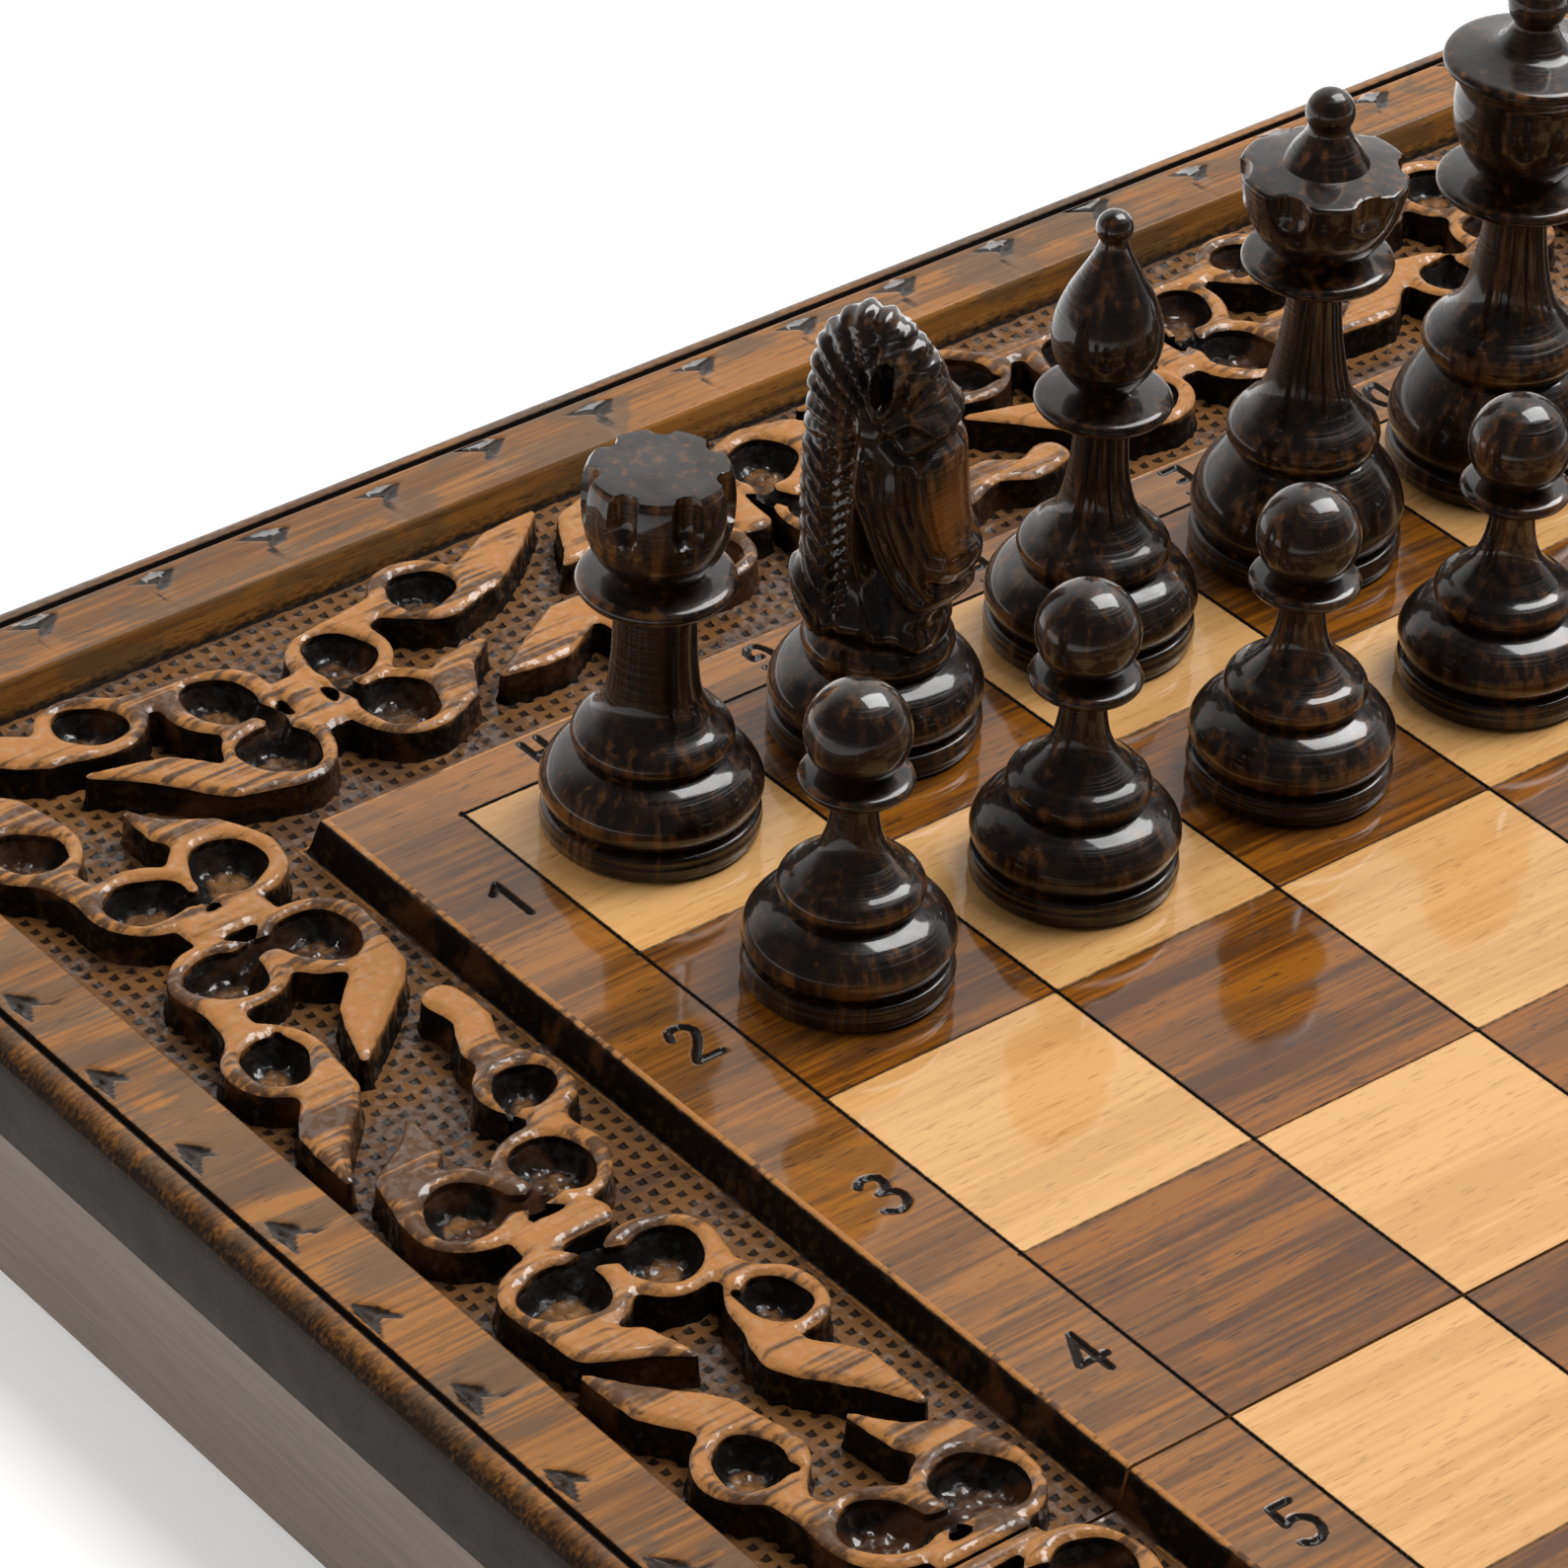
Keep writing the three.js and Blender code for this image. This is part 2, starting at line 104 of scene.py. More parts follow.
def stroke_distance(
    points: np.ndarray, line: np.ndarray, widths: Sequence[float] | None = None
) -> np.ndarray:
    """Distance from points to a broken line, less its half-width there.

    Args:
        points: the places to measure, one row each.
        line: the corners of the line.
        widths: half-width at each corner; none for a bare line.

    Returns:
        The distance of each place, negative inside the stroke.
    """
    best = np.full(len(points), 1e9)
    half = np.zeros(len(line)) if widths is None else np.asarray(widths, float)
    for a, b, wa, wb in zip(line[:-1], line[1:], half[:-1], half[1:]):
        run = b - a
        t = np.clip(((points - a) @ run) / max(run @ run, 1e-9), 0, 1)
        gap = np.hypot(*(points - a - t[:, None] * run).T) - (wa + (wb - wa) * t)
        best = np.minimum(best, gap)
    return best


def blended(first: np.ndarray, second: np.ndarray, fillet: float) -> np.ndarray:
    """Joins two distance fields with a fillet between them."""
    h = np.clip(0.5 + 0.5 * (second - first) / fillet, 0, 1)
    return second + (first - second) * h - fillet * h * (1 - h)


def cut_sheet(shape: Field, low: Sequence[float], high: Sequence[float], cell: float) -> tuple:
    """Cuts a flat sheet of triangles to a shape, with its edge exactly on the shape's outline.

    Args:
        shape: distance to the outline, negative inside.
        low: lowest corner to look in.
        high: highest corner to look in.
        cell: side of the triangles.

    Returns:
        The points, the triangles, and the edges of the outline as pairs of points.
    """
    rise = cell * math.sqrt(3) / 2
    columns = int((high[0] - low[0]) / cell) + 3
    rows = int((high[1] - low[1]) / rise) + 3
    row, column = np.mgrid[0:rows, 0:columns]
    points = np.stack([low[0] + (column + 0.5 * (row % 2)) * cell - cell, low[1] + row * rise - rise], -1)
    points = points.reshape(-1, 2).astype(float)

    def slope(at: np.ndarray, here: np.ndarray) -> np.ndarray:
        """How steeply the field rises along each axis."""
        step = 0.05 * cell
        return np.stack([(shape(at + step * axis) - here) / step for axis in np.eye(2)], -1)

    here = shape(points)
    near = np.abs(here) < cell * 0.9
    lean = slope(points[near], here[near])
    steep = np.maximum(np.linalg.norm(lean, axis=1), 0.2)
    on_edge = np.zeros(len(points), bool)
    on_edge[np.flatnonzero(near)[np.abs(here[near]) < 0.5 * cell * steep]] = True
    moved = points[on_edge]
    for _ in range(3):
        there = shape(moved)
        lean = slope(moved, there)
        moved = moved - there[:, None] * lean / np.maximum((lean**2).sum(1), 0.05)[:, None]
    points[on_edge] = moved
    kept = on_edge | (here < 0)
    index = np.arange(rows * columns).reshape(rows, columns)
    a, b, c, d = index[:-1, :-1], index[:-1, 1:], index[1:, :-1], index[1:, 1:]
    even = (np.arange(rows - 1) % 2 == 0)[:, None] & np.ones_like(a, bool)
    triangles = np.concatenate([
        np.stack([a[even], b[even], c[even]], -1), np.stack([b[even], d[even], c[even]], -1),
        np.stack([a[~even], b[~even], d[~even]], -1), np.stack([a[~even], d[~even], c[~even]], -1),
    ])
    triangles = triangles[kept[triangles].all(1)]
    corners = points[triangles]
    area = np.cross(corners[:, 1] - corners[:, 0], corners[:, 2] - corners[:, 0])
    triangles = triangles[(area > 1e-4 * cell * cell) & (shape(corners.mean(1)) < 0.12 * cell)]
    used, triangles = np.unique(triangles, return_inverse=True)
    triangles = triangles.reshape(-1, 3)
    sides = np.concatenate([triangles[:, [0, 1]], triangles[:, [1, 2]], triangles[:, [2, 0]]])
    code, back = sides[:, 0] * len(used) + sides[:, 1], sides[:, 1] * len(used) + sides[:, 0]
    return points[used], triangles, sides[~np.isin(code, back)]


class Value:
    """A shader socket that plain arithmetic can be written on."""

    def __init__(self, graph: "Graph", socket: bpy.types.NodeSocket) -> None:
        """Wraps one output socket of the graph."""
        self.graph, self.socket = graph, socket

    def __add__(self, other: "Value | float") -> "Value":
        """Sum."""
        return self.graph.maths("ADD", self, other)

    __radd__ = __add__

    def __sub__(self, other: "Value | float") -> "Value":
        """Difference."""
        return self.graph.maths("SUBTRACT", self, other)

    def __rsub__(self, other: "Value | float") -> "Value":
        """Difference from the other."""
        return self.graph.maths("SUBTRACT", other, self)

    def __mul__(self, other: "Value | float") -> "Value":
        """Product."""
        return self.graph.maths("MULTIPLY", self, other)

    __rmul__ = __mul__

    def __truediv__(self, other: "Value | float") -> "Value":
        """Quotient."""
        return self.graph.maths("DIVIDE", self, other)


class Graph:
    """One material's node tree, written as expressions."""

    def __init__(self, name: str, world: bool = False) -> None:
        """Starts an empty material, or the studio's surroundings."""
        self.material = (bpy.data.worlds if world else bpy.data.materials).new(name)
        self.material.use_nodes = True
        self.tree = self.material.node_tree
        self.tree.nodes.clear()
        self.place = self.add("TexCoord", out="Generated" if world else "Object")

    def add(
        self, kind: str, settings: dict | None = None, inputs: dict | None = None, out: int | str = 0
    ) -> Value:
        """Adds one node.

        Args:
            kind: the node's type, without its ShaderNode prefix.
            settings: the node's own settings, set before its sockets.
            inputs: socket name or number to a constant or a Value.
            out: the output that is wanted.

        Returns:
            That output.
        """
        node = self.tree.nodes.new("ShaderNode" + kind)
        for key, value in (settings or {}).items():
            setattr(node, key, value)
        for key, value in (inputs or {}).items():
            if isinstance(value, Value):
                self.tree.links.new(value.socket, node.inputs[key])
            else:
                node.inputs[key].default_value = value
        return Value(self, node.outputs[out])

    def maths(self, operation: str, first: Value | float, second: Value | float = 0.0) -> Value:
        """A Math node on one or two values."""
        return self.add("Math", {"operation": operation}, {0: first, 1: second})

    def mark(self, name: str) -> Value:
        """The mark of that name that the mesh carries at each point."""
        return self.add("Attribute", {"attribute_name": name}, out="Fac")

    def axis(self, index: int) -> Value:
        """One coordinate of the place on the object, in metres."""
        return self.add("SeparateXYZ", None, {0: self.place}, index)

    def noise(self, grain: tuple[float, float, float], detail: float = 2.0, wander: float = 0.0) -> Value:
        """Smooth noise stretched along the grain.

        Args:
            grain: how many times a metre it changes along each axis.
            detail: how many finer layers it has.
            wander: how much it twists on itself.

        Returns:
            The noise, about 0.5.
        """
        where = self.add("VectorMath", {"operation": "MULTIPLY"}, {0: self.place, 1: grain})
        inputs = {"Vector": where, "Scale": 1.0, "Detail": detail, "Distortion": wander}
        return self.add("TexNoise", None, inputs)

    def between(self, value: Value, low: float, high: float, start: float = 0.0, end: float = 1.0) -> Value:
        """Smooth step of a value from low to high, given as start to end."""
        return self.add(
            "MapRange", {"interpolation_type": "SMOOTHSTEP"}, {0: value, 1: low, 2: high, 3: start, 4: end}
        )

    def mix(self, share: Value | float, first: object, second: object) -> Value:
        """Mixes two colours, the second by share."""
        ends = [c if isinstance(c, Value) else (*c, 1.0) for c in (first, second)]
        return self.add("Mix", {"data_type": "RGBA"}, {0: share, 6: ends[0], 7: ends[1]}, 2)

    def bump(self, height: Value, depth: float, under: Value | None = None) -> Value:
        """Bends the normal by a height in metres times depth."""
        inputs = {"Height": height, "Strength": 1.0, "Distance": depth}
        if under is not None:
            inputs["Normal"] = under
        return self.add("Bump", None, inputs)

    def finish(self, **sockets: object) -> bpy.types.Material:
        """Closes the tree with a Principled shader; socket names are given with _ for a space."""
        shader = self.add("BsdfPrincipled", None, {name.replace("_", " "): v for name, v in sockets.items()})
        output = self.tree.nodes.new("ShaderNodeOutputMaterial")
        self.tree.links.new(shader.socket, output.inputs[0])
        return self.material


Colour = tuple[float, float, float]


@dataclass(frozen=True)
class BoardFinish:
    """Lacquered beech: pale, or stained, scorched and freshly wetted by the mesh's marks."""

    name: str
    pale: Colour = (0.585, 0.325, 0.122)
    pale_streak: Colour = (0.42, 0.205, 0.062)
    stain: Colour = (0.235, 0.079, 0.007)
    stain_streak: Colour = (0.082, 0.025, 0.002)
    blotch: Colour = (0.055, 0.028, 0.015)
    char: Colour = (0.010, 0.006, 0.004)
    lacquer: float = 1.0
    lacquer_roughness: float = 0.07
    ragged: float = 0.5
    mottle: float = 0.0

    def material(self) -> bpy.types.Material:
        """Builds the finish."""
        g = Graph(self.name)
        fine = g.noise((900, 26, 900), 3.0)
        broad = g.noise((110, 7, 110), 3.0, 0.6)
        dashes = g.between(g.noise((2100, 210, 2100), 1.0), 0.62, 0.72)
        streak = g.between(fine * 0.6 + broad * 0.7, 0.52, 0.78)
        pale = g.mix(streak * 0.55, self.pale, self.pale_streak)
        pale = g.mix(dashes * 0.35, pale, self.stain)
        stain = g.mix(streak, self.stain, self.stain_streak)
        blot = g.noise((62, 24, 62), 4.0, 1.3)
        stain = g.mix(g.between(blot + (fine - 0.5) * 0.25, 0.47, 0.56) * self.mottle, stain, self.blotch)
        stain = g.mix(dashes * 0.6, stain, self.char)
        wood = g.mix(g.between(g.mark("stain") + (broad - 0.5) * 0.12, 0.08, 0.92), pale, stain)
        torn = g.noise((1500, 500, 1500), 2.0)
        burn = g.between(g.mark("burn") + (torn - 0.5) * self.ragged, 0.22, 0.78)
        colour = g.mix(burn, wood, self.char)
        pores = fine * 0.5 + dashes * -0.5
        ripple = g.bump(pores, 0.00006, g.bump(g.noise((160, 60, 160), 2.0), 0.00022))
        rough = g.between(broad, 0.3, 0.7, 0.30, 0.42) + burn * 0.1
        coat = self.lacquer - burn * (0.75 * self.lacquer) + g.mark("wet") * 0.5
        return g.finish(
            Base_Color=colour, Roughness=rough, Normal=ripple, Specular_IOR_Level=0.04,
            Coat_Weight=coat, Coat_Roughness=self.lacquer_roughness, Coat_IOR=LACQUER_IOR,
        )


@dataclass(frozen=True)
class CarvingFinish:
    """Carved and stained wood: rubbed tan on its tops, scorched and glossy in its hollows, with painted shade
    on the bowl walls and on the scroll walls that face -y.
    """

    name: str
    top: Colour = (0.34, 0.15, 0.046)
    shade: Colour = (0.085, 0.042, 0.021)
    ground: Colour = (0.105, 0.046, 0.014)
    tinge: Colour = (0.060, 0.018, 0.003)
    char: Colour = (0.004, 0.0026, 0.002)

    def material(self) -> bpy.types.Material:
        """Builds the finish."""
        g = Graph(self.name)
        fine = g.noise((700, 24, 700), 3.0)
        patch = g.noise((70, 26, 70), 3.0, 0.8)
        gouged = g.noise((420, 420, 420), 3.0)
        beads = g.noise((560, 560, 560), 1.0)
        streak = g.between(fine * 0.6 + patch * 0.8, 0.66, 0.80)
        raised, sunk = (g.mix(streak, base, self.shade) for base in (self.top, self.ground))
        wood = g.mix(g.mark("floor") * 0.85, raised, sunk)
        # This mark is scorching, plus painted shade on the scroll walls and in the bowls; where it is high the
        # colour goes to char.
        burn = g.between(g.mark("burn") + (gouged - 0.5) * 0.35 + (patch - 0.5) * 0.3, 0.2, 0.68)
        from_pit = [
            g.maths("ABSOLUTE", g.maths("FRACT", g.axis(i) / (pitch * MM) + (gouged - 0.5) * 0.16) - 0.5)
            for i, pitch in enumerate(PIT_PITCH)
        ]
        square_pit = 1 - g.between(g.maths("MAXIMUM", from_pit[0], from_pit[1]), 0.15, 0.27)
        lattice = square_pit * g.between(g.mark("floor") + (gouged - 0.5) * 0.9, 0.45, 0.75)
        scorched = g.mix(g.between(patch, 0.52, 0.64) * 0.6, self.char, self.tinge)
        colour = g.mix(burn, g.mix(lattice * 0.9, wood, self.char), scorched)
        chips = g.bump(lattice * -1.0, 0.0005, g.bump(gouged, 0.0005, g.bump(fine, 0.00012)))
        rough = g.between(gouged, 0.35, 0.65, 0.34, 0.50) + burn * 0.2
        coat = g.between(beads + (patch - 0.5) * 0.4, 0.48, 0.62, 0.12, 0.85)
        return g.finish(
            Base_Color=colour, Roughness=rough, Normal=chips, Specular_IOR_Level=0.08,
            Coat_Weight=coat, Coat_Roughness=0.11, Coat_IOR=LACQUER_IOR,
        )


@dataclass(frozen=True)
class PieceFinish:
    """Turned wood with its grain upright, stained, then polished on the lathe."""

    name: str
    body: Colour
    streak: Colour
    glow: Colour
    glow_share: float
    gloss: float

    def material(self) -> bpy.types.Material:
        """Builds the finish."""
        g = Graph(self.name)
        grain = g.noise((420, 420, 26), 3.0)
        vein = g.noise((520, 520, 24), 3.0, 0.4)
        worn = g.noise((60, 60, 40), 3.0)
        turned = g.noise((30, 30, 1500), 3.0)
        fibre = g.between(grain, 0.42, 0.62)
        colour = g.mix(fibre * 0.8, self.body, self.streak)
        bare = g.between(vein * 0.55 + grain * 0.30 + worn * 0.35 + g.mark("rub") * 0.35, 0.61, 0.78)
        colour = g.mix(bare * g.between(g.mark("rub"), 0.55, 1.0, self.glow_share, 1.0), colour, self.glow)
        # Painted shade: on the pieces this mark only holds the knight's shaded neck, pulled towards a third of
        # the body colour.
        colour = g.mix(g.mark("burn") * 0.8, colour, tuple(0.3 * c for c in self.body))
        lines = g.bump(turned, 0.00024, g.bump(grain, 0.00008))
        rough = g.between(turned * 0.5 + grain * 0.5, 0.35, 0.65, self.gloss, self.gloss + 0.16)
        return g.finish(
            Base_Color=colour, Roughness=rough, Normal=lines, Specular_IOR_Level=0.2,
            Coat_Weight=g.between(worn, 0.3, 0.7, 0.5, 1.0), Coat_Roughness=0.085, Coat_IOR=LACQUER_IOR,
        )


@dataclass(frozen=True)
class WallFinish:
    """The box's plain stained sides, satin and a little dusty."""

    name: str
    wood: Colour = (0.100, 0.066, 0.046)
    streak: Colour = (0.070, 0.045, 0.030)

    def material(self) -> bpy.types.Material:
        """Builds the finish."""
        g = Graph(self.name)
        along = g.noise((45, 45, 700), 3.0, 0.5)
        cloud = g.noise((14, 14, 30), 2.0)
        colour = g.mix(g.between(along, 0.35, 0.65), self.wood, self.streak)
        colour = g.mix(g.between(cloud, 0.4, 0.75) * 0.4, colour, tuple(1.3 * c for c in self.wood))
        return g.finish(
            Base_Color=colour, Roughness=g.between(cloud, 0.3, 0.7, 0.34, 0.48),
            Normal=g.bump(along, 0.00012), Coat_Weight=0.35, Coat_Roughness=0.22,
        )


@dataclass(frozen=True)
class BrassFinish:
    """Brushed brass gone a little dull."""

    name: str
    metal: Colour = (0.62, 0.42, 0.16)
    tarnish: Colour = (0.30, 0.17, 0.06)

    def material(self) -> bpy.types.Material:
        """Builds the finish."""
        g = Graph(self.name)
        brushed = g.noise((2400, 120, 2400), 2.0)
        spots = g.noise((300, 300, 300), 3.0)
        return g.finish(
            Base_Color=g.mix(g.between(spots, 0.45, 0.7), self.metal, self.tarnish), Metallic=1.0,
            Roughness=g.between(brushed, 0.3, 0.7, 0.22, 0.4), Normal=g.bump(brushed, 0.00004),
        )


@dataclass
class Skin:
    """Points, faces and per-point marks gathered for one mesh, in millimetres."""

    points: list = field(default_factory=list)
    faces: list = field(default_factory=list)
    marks: dict = field(default_factory=dict)
    count: int = 0

    def add(self, points: np.ndarray, faces: list, **marks: np.ndarray | float) -> None:
        """Adds a patch.

        Args:
            points: its points, one row each.
            faces: its faces, as rows or lists of point numbers.
            **marks: a number, or one for each point, for each named mark.
        """
        rows = faces.tolist() if isinstance(faces, np.ndarray) else faces
        self.faces += [[i + self.count for i in row] for row in rows]
        self.points.append(np.asarray(points, float))
        for name in set(self.marks) | set(marks):
            held = self.marks.setdefault(name, [np.zeros(self.count)] if self.count else [])
            held.append(np.broadcast_to(np.asarray(marks.get(name, 0.0), float), len(points)))
        self.count += len(points)

    def mirrored(self) -> None:
        """Turns the skin over the plane x = 0, faces still pointing out."""
        self.points = [p * (-1, 1, 1) for p in self.points]
        self.faces = [row[::-1] for row in self.faces]

    def build(self, name: str, finish: bpy.types.Material, crease: float) -> bpy.types.Object:
        """Writes the mesh out.

        Args:
            name: the piece's name.
            finish: its material.
            crease: the angle in degrees above which an edge stays sharp.

        Returns:
            The new object.
        """
        mesh = bpy.data.meshes.new(name)
        mesh.from_pydata((np.vstack(self.points) * MM).tolist(), [], self.faces)
        for key, parts in self.marks.items():
            layer = mesh.attributes.new(key, "FLOAT", "POINT")
            layer.data.foreach_set("value", np.concatenate(parts).astype(np.float32))
        mesh.materials.append(finish)
        mesh.shade_smooth()
        mesh.set_sharp_from_angle(angle=math.radians(crease))
        made = bpy.data.objects.new(name, mesh)
        bpy.context.scene.collection.objects.link(made)
        return made


def seat(piece: bpy.types.Object, body: str, slot: str, *nodes: str) -> bpy.types.Object:
    """Puts a piece on its body in place of CAD nodes."""
    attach(piece, body)
    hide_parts(*nodes)
    LOG.info("%s rides on %s, %d faces", piece.name, body, len(piece.data.polygons))
    return piece


def quads(index: np.ndarray, after: np.ndarray) -> np.ndarray:
    """Four-sided faces from rows of point numbers to the rows above, and on to the numbers after."""
    return np.stack([index[:-1], after[:-1], after[1:], index[1:]], -1).reshape(-1, 4)


def grid_patch(xs: np.ndarray, ys: np.ndarray) -> tuple[np.ndarray, np.ndarray]:
    """Points and four-sided faces of a flat grid over the given lines, facing up."""
    x, y = np.meshgrid(xs, ys)
    points = np.stack([x.ravel(), y.ravel(), np.zeros(x.size)], -1)
    index = np.arange(x.size).reshape(x.shape)
    return points, quads(index[:, :-1], index[:, 1:])


def lines_between(
    low: float, high: float, coarse: float, spots: Sequence[float], reach: float, fine: float
) -> np.ndarray:
    """Grid lines from low to high, close together around the spots.

    Args:
        low: the first line.
        high: the last line.
        coarse: the widest gap between lines.
        spots: where the fine parts lie.
        reach: how far each fine part goes to either side.
        fine: the gap there.

    Returns:
        The lines in order.
    """
    found = list(np.linspace(low, high, max(2, int((high - low) / coarse) + 1)))
    found = [v for v in found[1:-1] if all(abs(v - s) > reach + fine for s in spots)] + [low, high]
    for s in spots:
        found += list(s + np.arange(-reach, reach + fine / 2, fine))
    found = np.array(sorted(v for v in found if low <= v <= high))
    return found[np.concatenate([[True], np.diff(found) > 1e-3])]


class Glyphs:
    """Single-stroke letters and numbers, one high and about 0.6 wide, with True for a rounded stroke."""

    BOWL = (True, (0.54, 0.82), (0.34, 1), (0.10, 0.80), (0.06, 0.40), (0.20, 0.04), (0.42, 0), (0.56, 0.18))
    POST = (False, (0.08, 0), (0.08, 1))
    STROKES = {
        "1": ((False, (0.10, 0.78), (0.34, 1), (0.34, 0)),),
        "2": (
            (True, (0.04, 0.76), (0.14, 0.96), (0.38, 0.98), (0.54, 0.78), (0.40, 0.48), (0.16, 0.22),
             (0.05, 0.04)),
            (False, (0.05, 0.04), (0.58, 0.04)),
        ),
        "3": (
            (True, (0.06, 0.86), (0.24, 1), (0.50, 0.88), (0.46, 0.62), (0.24, 0.53)),
            (True, (0.24, 0.53), (0.52, 0.44), (0.54, 0.16), (0.28, 0), (0.04, 0.12)),
        ),
        "4": ((False, (0.42, 0), (0.42, 1), (0.04, 0.32), (0.60, 0.32)),),
        "5": (
            (False, (0.52, 0.98), (0.14, 0.98), (0.10, 0.56)),
            (True, (0.10, 0.56), (0.36, 0.62), (0.56, 0.38), (0.46, 0.08), (0.22, 0), (0.04, 0.10)),
        ),
        "6": (
            (True, (0.50, 0.94), (0.26, 0.9), (0.08, 0.6), (0.07, 0.26), (0.30, 0), (0.54, 0.2), (0.46, 0.46),
             (0.26, 0.52), (0.08, 0.3)),
        ),
        "7": ((False, (0.04, 0.97), (0.56, 0.97), (0.22, 0)),),
        "8": (
            (True, (0.30, 0.54), (0.08, 0.74), (0.28, 1), (0.52, 0.76), (0.30, 0.54), (0.04, 0.24), (0.30, 0),
             (0.56, 0.26), (0.30, 0.54)),
        ),
        "A": ((False, (0.02, 0), (0.30, 1), (0.58, 0)), (False, (0.12, 0.36), (0.48, 0.36))),
        "B": (
            POST,
            (True, (0.08, 1), (0.40, 0.96), (0.46, 0.74), (0.34, 0.56), (0.08, 0.54)),
            (True, (0.08, 0.54), (0.44, 0.5), (0.54, 0.24), (0.38, 0.02), (0.08, 0)),
        ),
        "C": (BOWL,),
        "D": (POST, (True, (0.08, 1), (0.40, 0.92), (0.56, 0.56), (0.44, 0.12), (0.08, 0))),
        "E": ((False, (0.54, 1), (0.08, 1), (0.08, 0), (0.54, 0)), (False, (0.08, 0.52), (0.42, 0.52))),
        "F": ((False, (0.54, 1), (0.08, 1), (0.08, 0)), (False, (0.08, 0.52), (0.42, 0.52))),
        "G": (BOWL, (False, (0.34, 0.42), (0.56, 0.42), (0.56, 0.14))),
        "H": (POST, (False, (0.52, 0), (0.52, 1)), (False, (0.08, 0.52), (0.52, 0.52))),
    }

    @classmethod
    def strokes(cls, sign: str, centre: tuple, up: tuple, right: tuple, height: float) -> list[np.ndarray]:
        """Places one sign.

        Args:
            sign: the letter or number.
            centre: its middle on the board, in millimetres.
            up: the direction of its top.
            right: the direction of its right side.
            height: how tall it is.

        Returns:
            The corners of each stroke on the board.
        """
        out = []
        for rounded, *stops in cls.STROKES[sign]:
            line = spline(stops, 0.12) if rounded else np.array(stops, float)
            spot = (line - (0.31, 0.5)) * height
            out.append(np.array(centre) + spot[:, :1] * np.array(right) + spot[:, 1:] * np.array(up))
        return out


class ArmSide(Enum):
    """Which side of the channel a scroll's arms lie on."""

    OUTER = "outer"
    INNER = "inner"


@dataclass(frozen=True)
class Scroll:
    """One carved scroll in squares: along the channel away from its middle, then towards the squares."""

    rings: tuple
    bowls: tuple
    leaves: tuple
    openings: tuple
    first_leaf: tuple
    second_leaf: tuple


SCROLLS = {
    ArmSide.OUTER: Scroll(
        rings=((0.26, 0.215, 0.21), (0.265, -0.15, 0.20), (0.73, -0.31, 0.19)),
        bowls=(0.158, 0.148, 0.135),
        leaves=(
            (((0.34, -0.28), (0.53, -0.31), (0.60, -0.27)), (0.06, 0.06, 0.06)),
            (((0.74, -0.22), (0.95, -0.26), (1.15, -0.39), (1.38, -0.47)), (0.08, 0.10, 0.085, 0.015)),
            (((0.0, 0.14), (0.02, 0.03), (0.0, -0.08)), (0.05, 0.045, 0.05)),
        ),
        openings=(
            (((0.19, 0.10), (0.165, 0.03), (0.19, -0.05)), (0.045, 0.038, 0.045)),
            (((0.68, -0.25), (0.63, -0.21)), (0.05, 0.02)),
        ),
        first_leaf=(((0.30, 0.33), (0.50, 0.28), (0.66, 0.10), (0.90, -0.05)), (0.07, 0.095, 0.085, 0.015)),
        second_leaf=(((0.30, 0.33), (0.46, 0.27), (0.56, 0.15), (0.72, 0.09)), (0.07, 0.09, 0.07, 0.015)),
    ),
    ArmSide.INNER: Scroll(
        rings=((0.27, -0.27, 0.21), (0.285, 0.115, 0.205), (0.69, 0.27, 0.17)),
        bowls=(0.155, 0.15, 0.12),
        leaves=(
            (((0.34, -0.40), (0.50, -0.35), (0.60, -0.22), (0.74, -0.13)), (0.06, 0.085, 0.075, 0.015)),
            (((0.40, 0.20), (0.52, 0.24), (0.60, 0.24)), (0.06, 0.06, 0.06)),
            (((0.0, 0.04), (0.02, -0.08), (0.0, -0.20)), (0.05, 0.045, 0.05)),
        ),
        openings=(
            (((0.20, -0.15), (0.17, -0.08), (0.20, -0.01)), (0.045, 0.038, 0.045)),
            (((0.66, 0.20), (0.60, 0.17)), (0.05, 0.02)),
        ),
        first_leaf=(((0.70, 0.16), (0.92, 0.13), (1.10, 0.25), (1.34, 0.31)), (0.06, 0.095, 0.095, 0.02)),
        second_leaf=(((0.74, 0.36), (0.92, 0.30), (1.06, 0.36), (1.20, 0.34)), (0.06, 0.075, 0.065, 0.075)),
    ),
}


